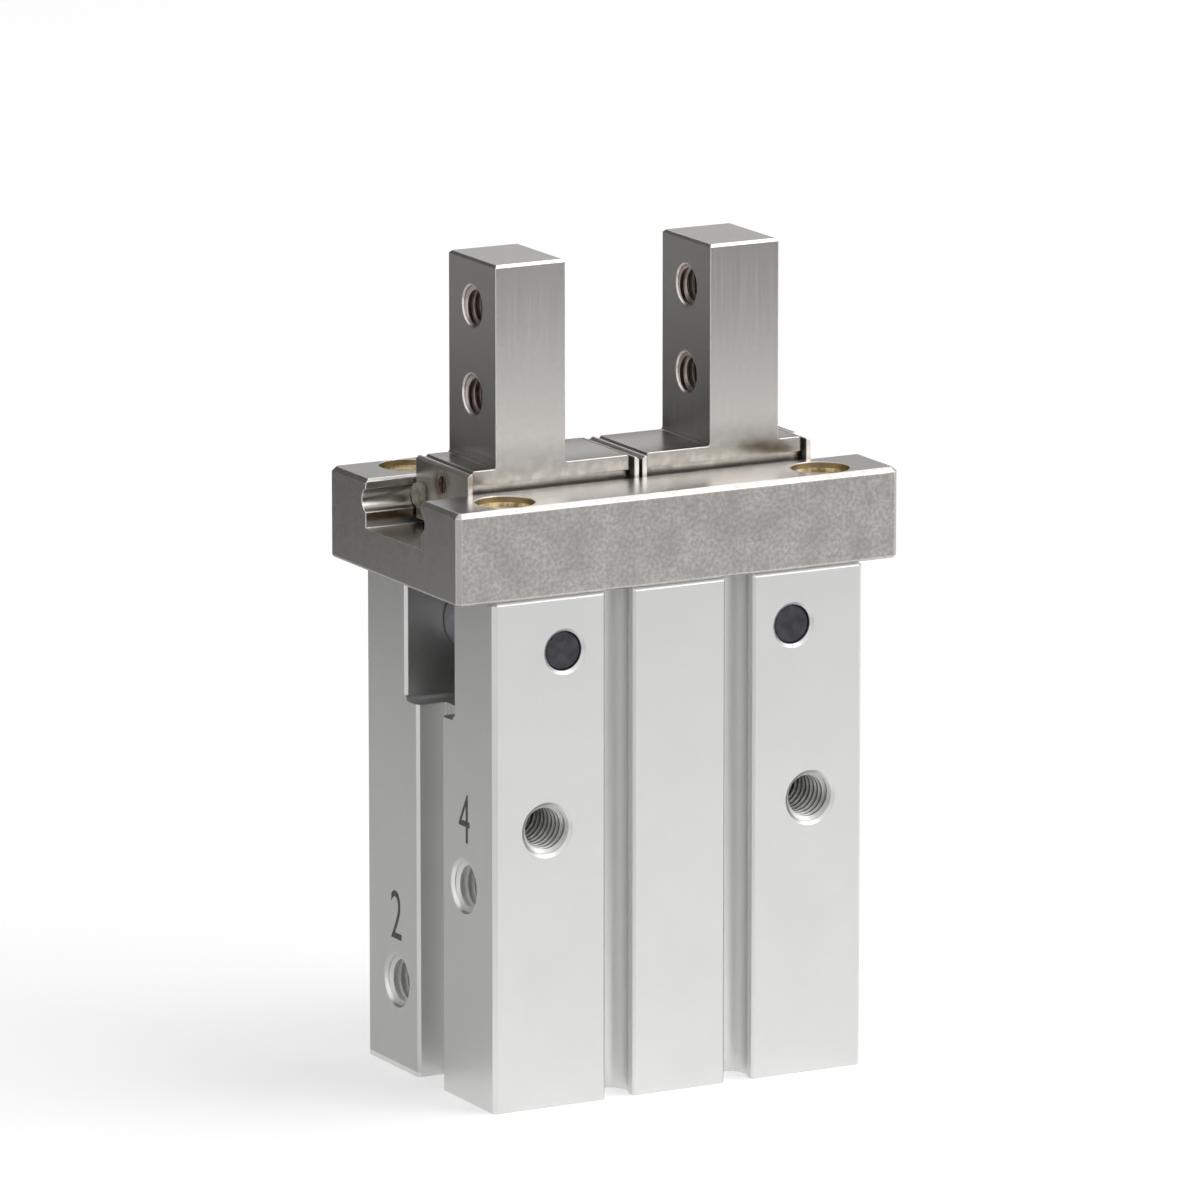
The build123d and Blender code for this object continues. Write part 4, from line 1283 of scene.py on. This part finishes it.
@dataclass
class Studio:
    """Pale floor, white surroundings, soft lamps and the photograph's camera.

    Attributes:
        floor_radius: Radius of the floor.
        floor_drop: How far it lies below the body's bottom, so that the two don't flicker.
        floor_colour: Its colour as sRGB hex.
        floor_glow: Light that the floor adds where the camera or a reflection sees it.
        sky_light: Level of the surroundings for the light that falls on things.
        focal_length: The camera's focal length.
        sensor: Width of its sensor.
        nearest: Distance from which the camera sees.
        farthest: Distance up to which it sees.
        yaw: How far the camera looks to the right of +Y, in degrees.
        pitch: How far it looks down, in degrees.
        target: The point that the picture is measured from.
        target_right: How far that point lies left of the picture's centre, at its own distance.
        target_down: How far it lies above the centre.
        distance: Its distance along the line of sight.
    """

    floor_radius: float = 2500.0
    floor_drop: float = 0.02
    floor_colour: str = "#E6E6E6"
    floor_glow: float = 0.47
    sky_light: float = 0.4
    focal_length: float = 320.4
    sensor: float = 36.0
    nearest: float = 10.0
    farthest: float = 20000.0
    yaw: float = 28.309
    pitch: float = 12.312
    target: Place = (0.0, 0.0, 30.0)
    target_right: float = 1.423
    target_down: float = 17.323
    distance: float = 1080.2

    def build(self) -> None:
        """Build the whole studio."""
        self.floor()
        self.world()
        self.cards()
        Softbox("overhead_softbox", (1200, -550, 2300), (0, 0, 0), size=1600, power=17.0).build()
        Softbox("key_softbox", (1300, -1400, 1000), (0, 0, 40), size=1700, power=15.0).build()
        self.camera()

    def cards(self) -> None:
        """Set up the cards that the metal's flat faces mirror towards the camera.

        An upright face mirrors the floor farther out the higher a point on it lies. So the left card's near
        rows shade the body's left face, and its steep ones those of the guide and the fingers. The right card
        shades the fingers' fronts, and the back card the top faces.
        """
        left = (
            (2, 0.5, 0.5), (100, 0.5, 0.55), (170, 0.5, 0.65), (203, 0.5, 0.7), (211, 0.5, 0.06),
            (231, 8, 0.0), (233, 21, 0.06), (234, 33, 0.22), (235, 46, 0.2), (236, 90, 0.06),
            (240, 320, 0.06),
        )
        right = ((338, 0.5, 0.1), (342, 120, 0.1))
        front = ((60, 0.5, 0.35), (260, 0.5, 0.35), (262, 150, 0.35))
        back = ((600, 0.5, 0.36), (604, 150, 0.36), (606, 195, 0.42), (607, 235, 0.56), (610, 420, 0.56))
        for card in (
            Flag("left_flag", (-21, 0), bearing=118.0, half_width=170.0, rows=left),
            Flag("right_flag", (0, -14), bearing=-62.0, half_width=260.0, rows=right),
            Flag("camera_flag", (-21, -14), bearing=-118.0, half_width=60.0, rows=front),
            Flag("back_flag", (0, 14), bearing=62.0, half_width=500.0, rows=back),
        ):
            card.build()

    def floor(self) -> None:
        """Lay the floor: pale for the lamps, and white where the camera or a reflection sees it lit."""
        shape = bmesh.new()
        bmesh.ops.create_circle(shape, cap_ends=True, segments=96, radius=mm(self.floor_radius))
        bmesh.ops.translate(shape, verts=shape.verts, vec=(0, 0, -mm(self.floor_drop)))
        mesh = bpy.data.meshes.new("studio_floor")
        shape.to_mesh(mesh)
        shape.free()
        made = bpy.data.materials.new("pale_studio_floor")
        tree = new_tree(made)
        paper = add(tree, "ShaderNodeBsdfDiffuse", {"Color": linear(self.floor_colour)})
        seen = 0.0
        for ray in ("Is Camera Ray", "Is Glossy Ray", "Is Transmission Ray"):
            kind = add(tree, "ShaderNodeLightPath", {}, ray)
            seen = add(tree, "ShaderNodeMath", {0: kind, 1: seen}, operation="MAXIMUM")
        strength = add(tree, "ShaderNodeMath", {0: seen, 1: self.floor_glow}, operation="MULTIPLY")
        glow = add(tree, "ShaderNodeEmission", {"Color": WHITE, "Strength": strength})
        both = add(tree, "ShaderNodeAddShader", {0: paper, 1: glow})
        add(tree, "ShaderNodeOutputMaterial", {"Surface": both})
        mesh.materials.append(made)
        mesh_object("studio_floor", mesh)

    def world(self) -> None:
        """Surround the object with white, at a lower level for the light that falls on it."""
        world = bpy.data.worlds.new("white_surroundings")
        bpy.context.scene.world = world
        tree = new_tree(world)
        diffuse = add(tree, "ShaderNodeLightPath", {}, "Is Diffuse Ray")
        level = add(tree, "ShaderNodeMapRange", {"Value": diffuse, "To Min": 1.0, "To Max": self.sky_light})
        sky = add(tree, "ShaderNodeBackground", {"Color": WHITE, "Strength": level})
        add(tree, "ShaderNodeOutputWorld", {"Surface": sky})

    def camera(self) -> None:
        """Set the camera where the photograph was taken from."""
        lens = bpy.data.cameras.new("photo_camera")
        lens.sensor_width = self.sensor
        lens.lens = self.focal_length
        lens.clip_start = mm(self.nearest)
        lens.clip_end = mm(self.farthest)
        yaw = math.radians(self.yaw)
        pitch = math.radians(self.pitch)
        forward = Vector((math.sin(yaw) * math.cos(pitch), math.cos(yaw) * math.cos(pitch), -math.sin(pitch)))
        right = Vector((math.cos(yaw), -math.sin(yaw), 0))
        down = forward.cross(right)
        centre = Vector(self.target) - right * self.target_right - down * self.target_down
        camera = bpy.data.objects.new("photo_camera", lens)
        bpy.context.scene.collection.objects.link(camera)
        camera.location = [mm(part) for part in centre - forward * self.distance]
        camera.rotation_euler = forward.to_track_quat("-Z", "Y").to_euler()
        bpy.context.scene.camera = camera


def main() -> None:
    """Build the studio and every sub-assembly in order."""
    logging.basicConfig(level=logging.INFO, format="%(name)s %(message)s")
    bpy.context.scene.view_settings.view_transform = "Standard"
    cutter = ThreadCutter()
    CylinderBody().build(cutter)
    GuideRail().build()
    for jaw in (Jaw("left", -1), Jaw("right", 1)):
        jaw.build(cutter)
    GreaseDab().build()
    LeverDrive().build()
    Studio().build()


if __name__ == "__main__":
    main()
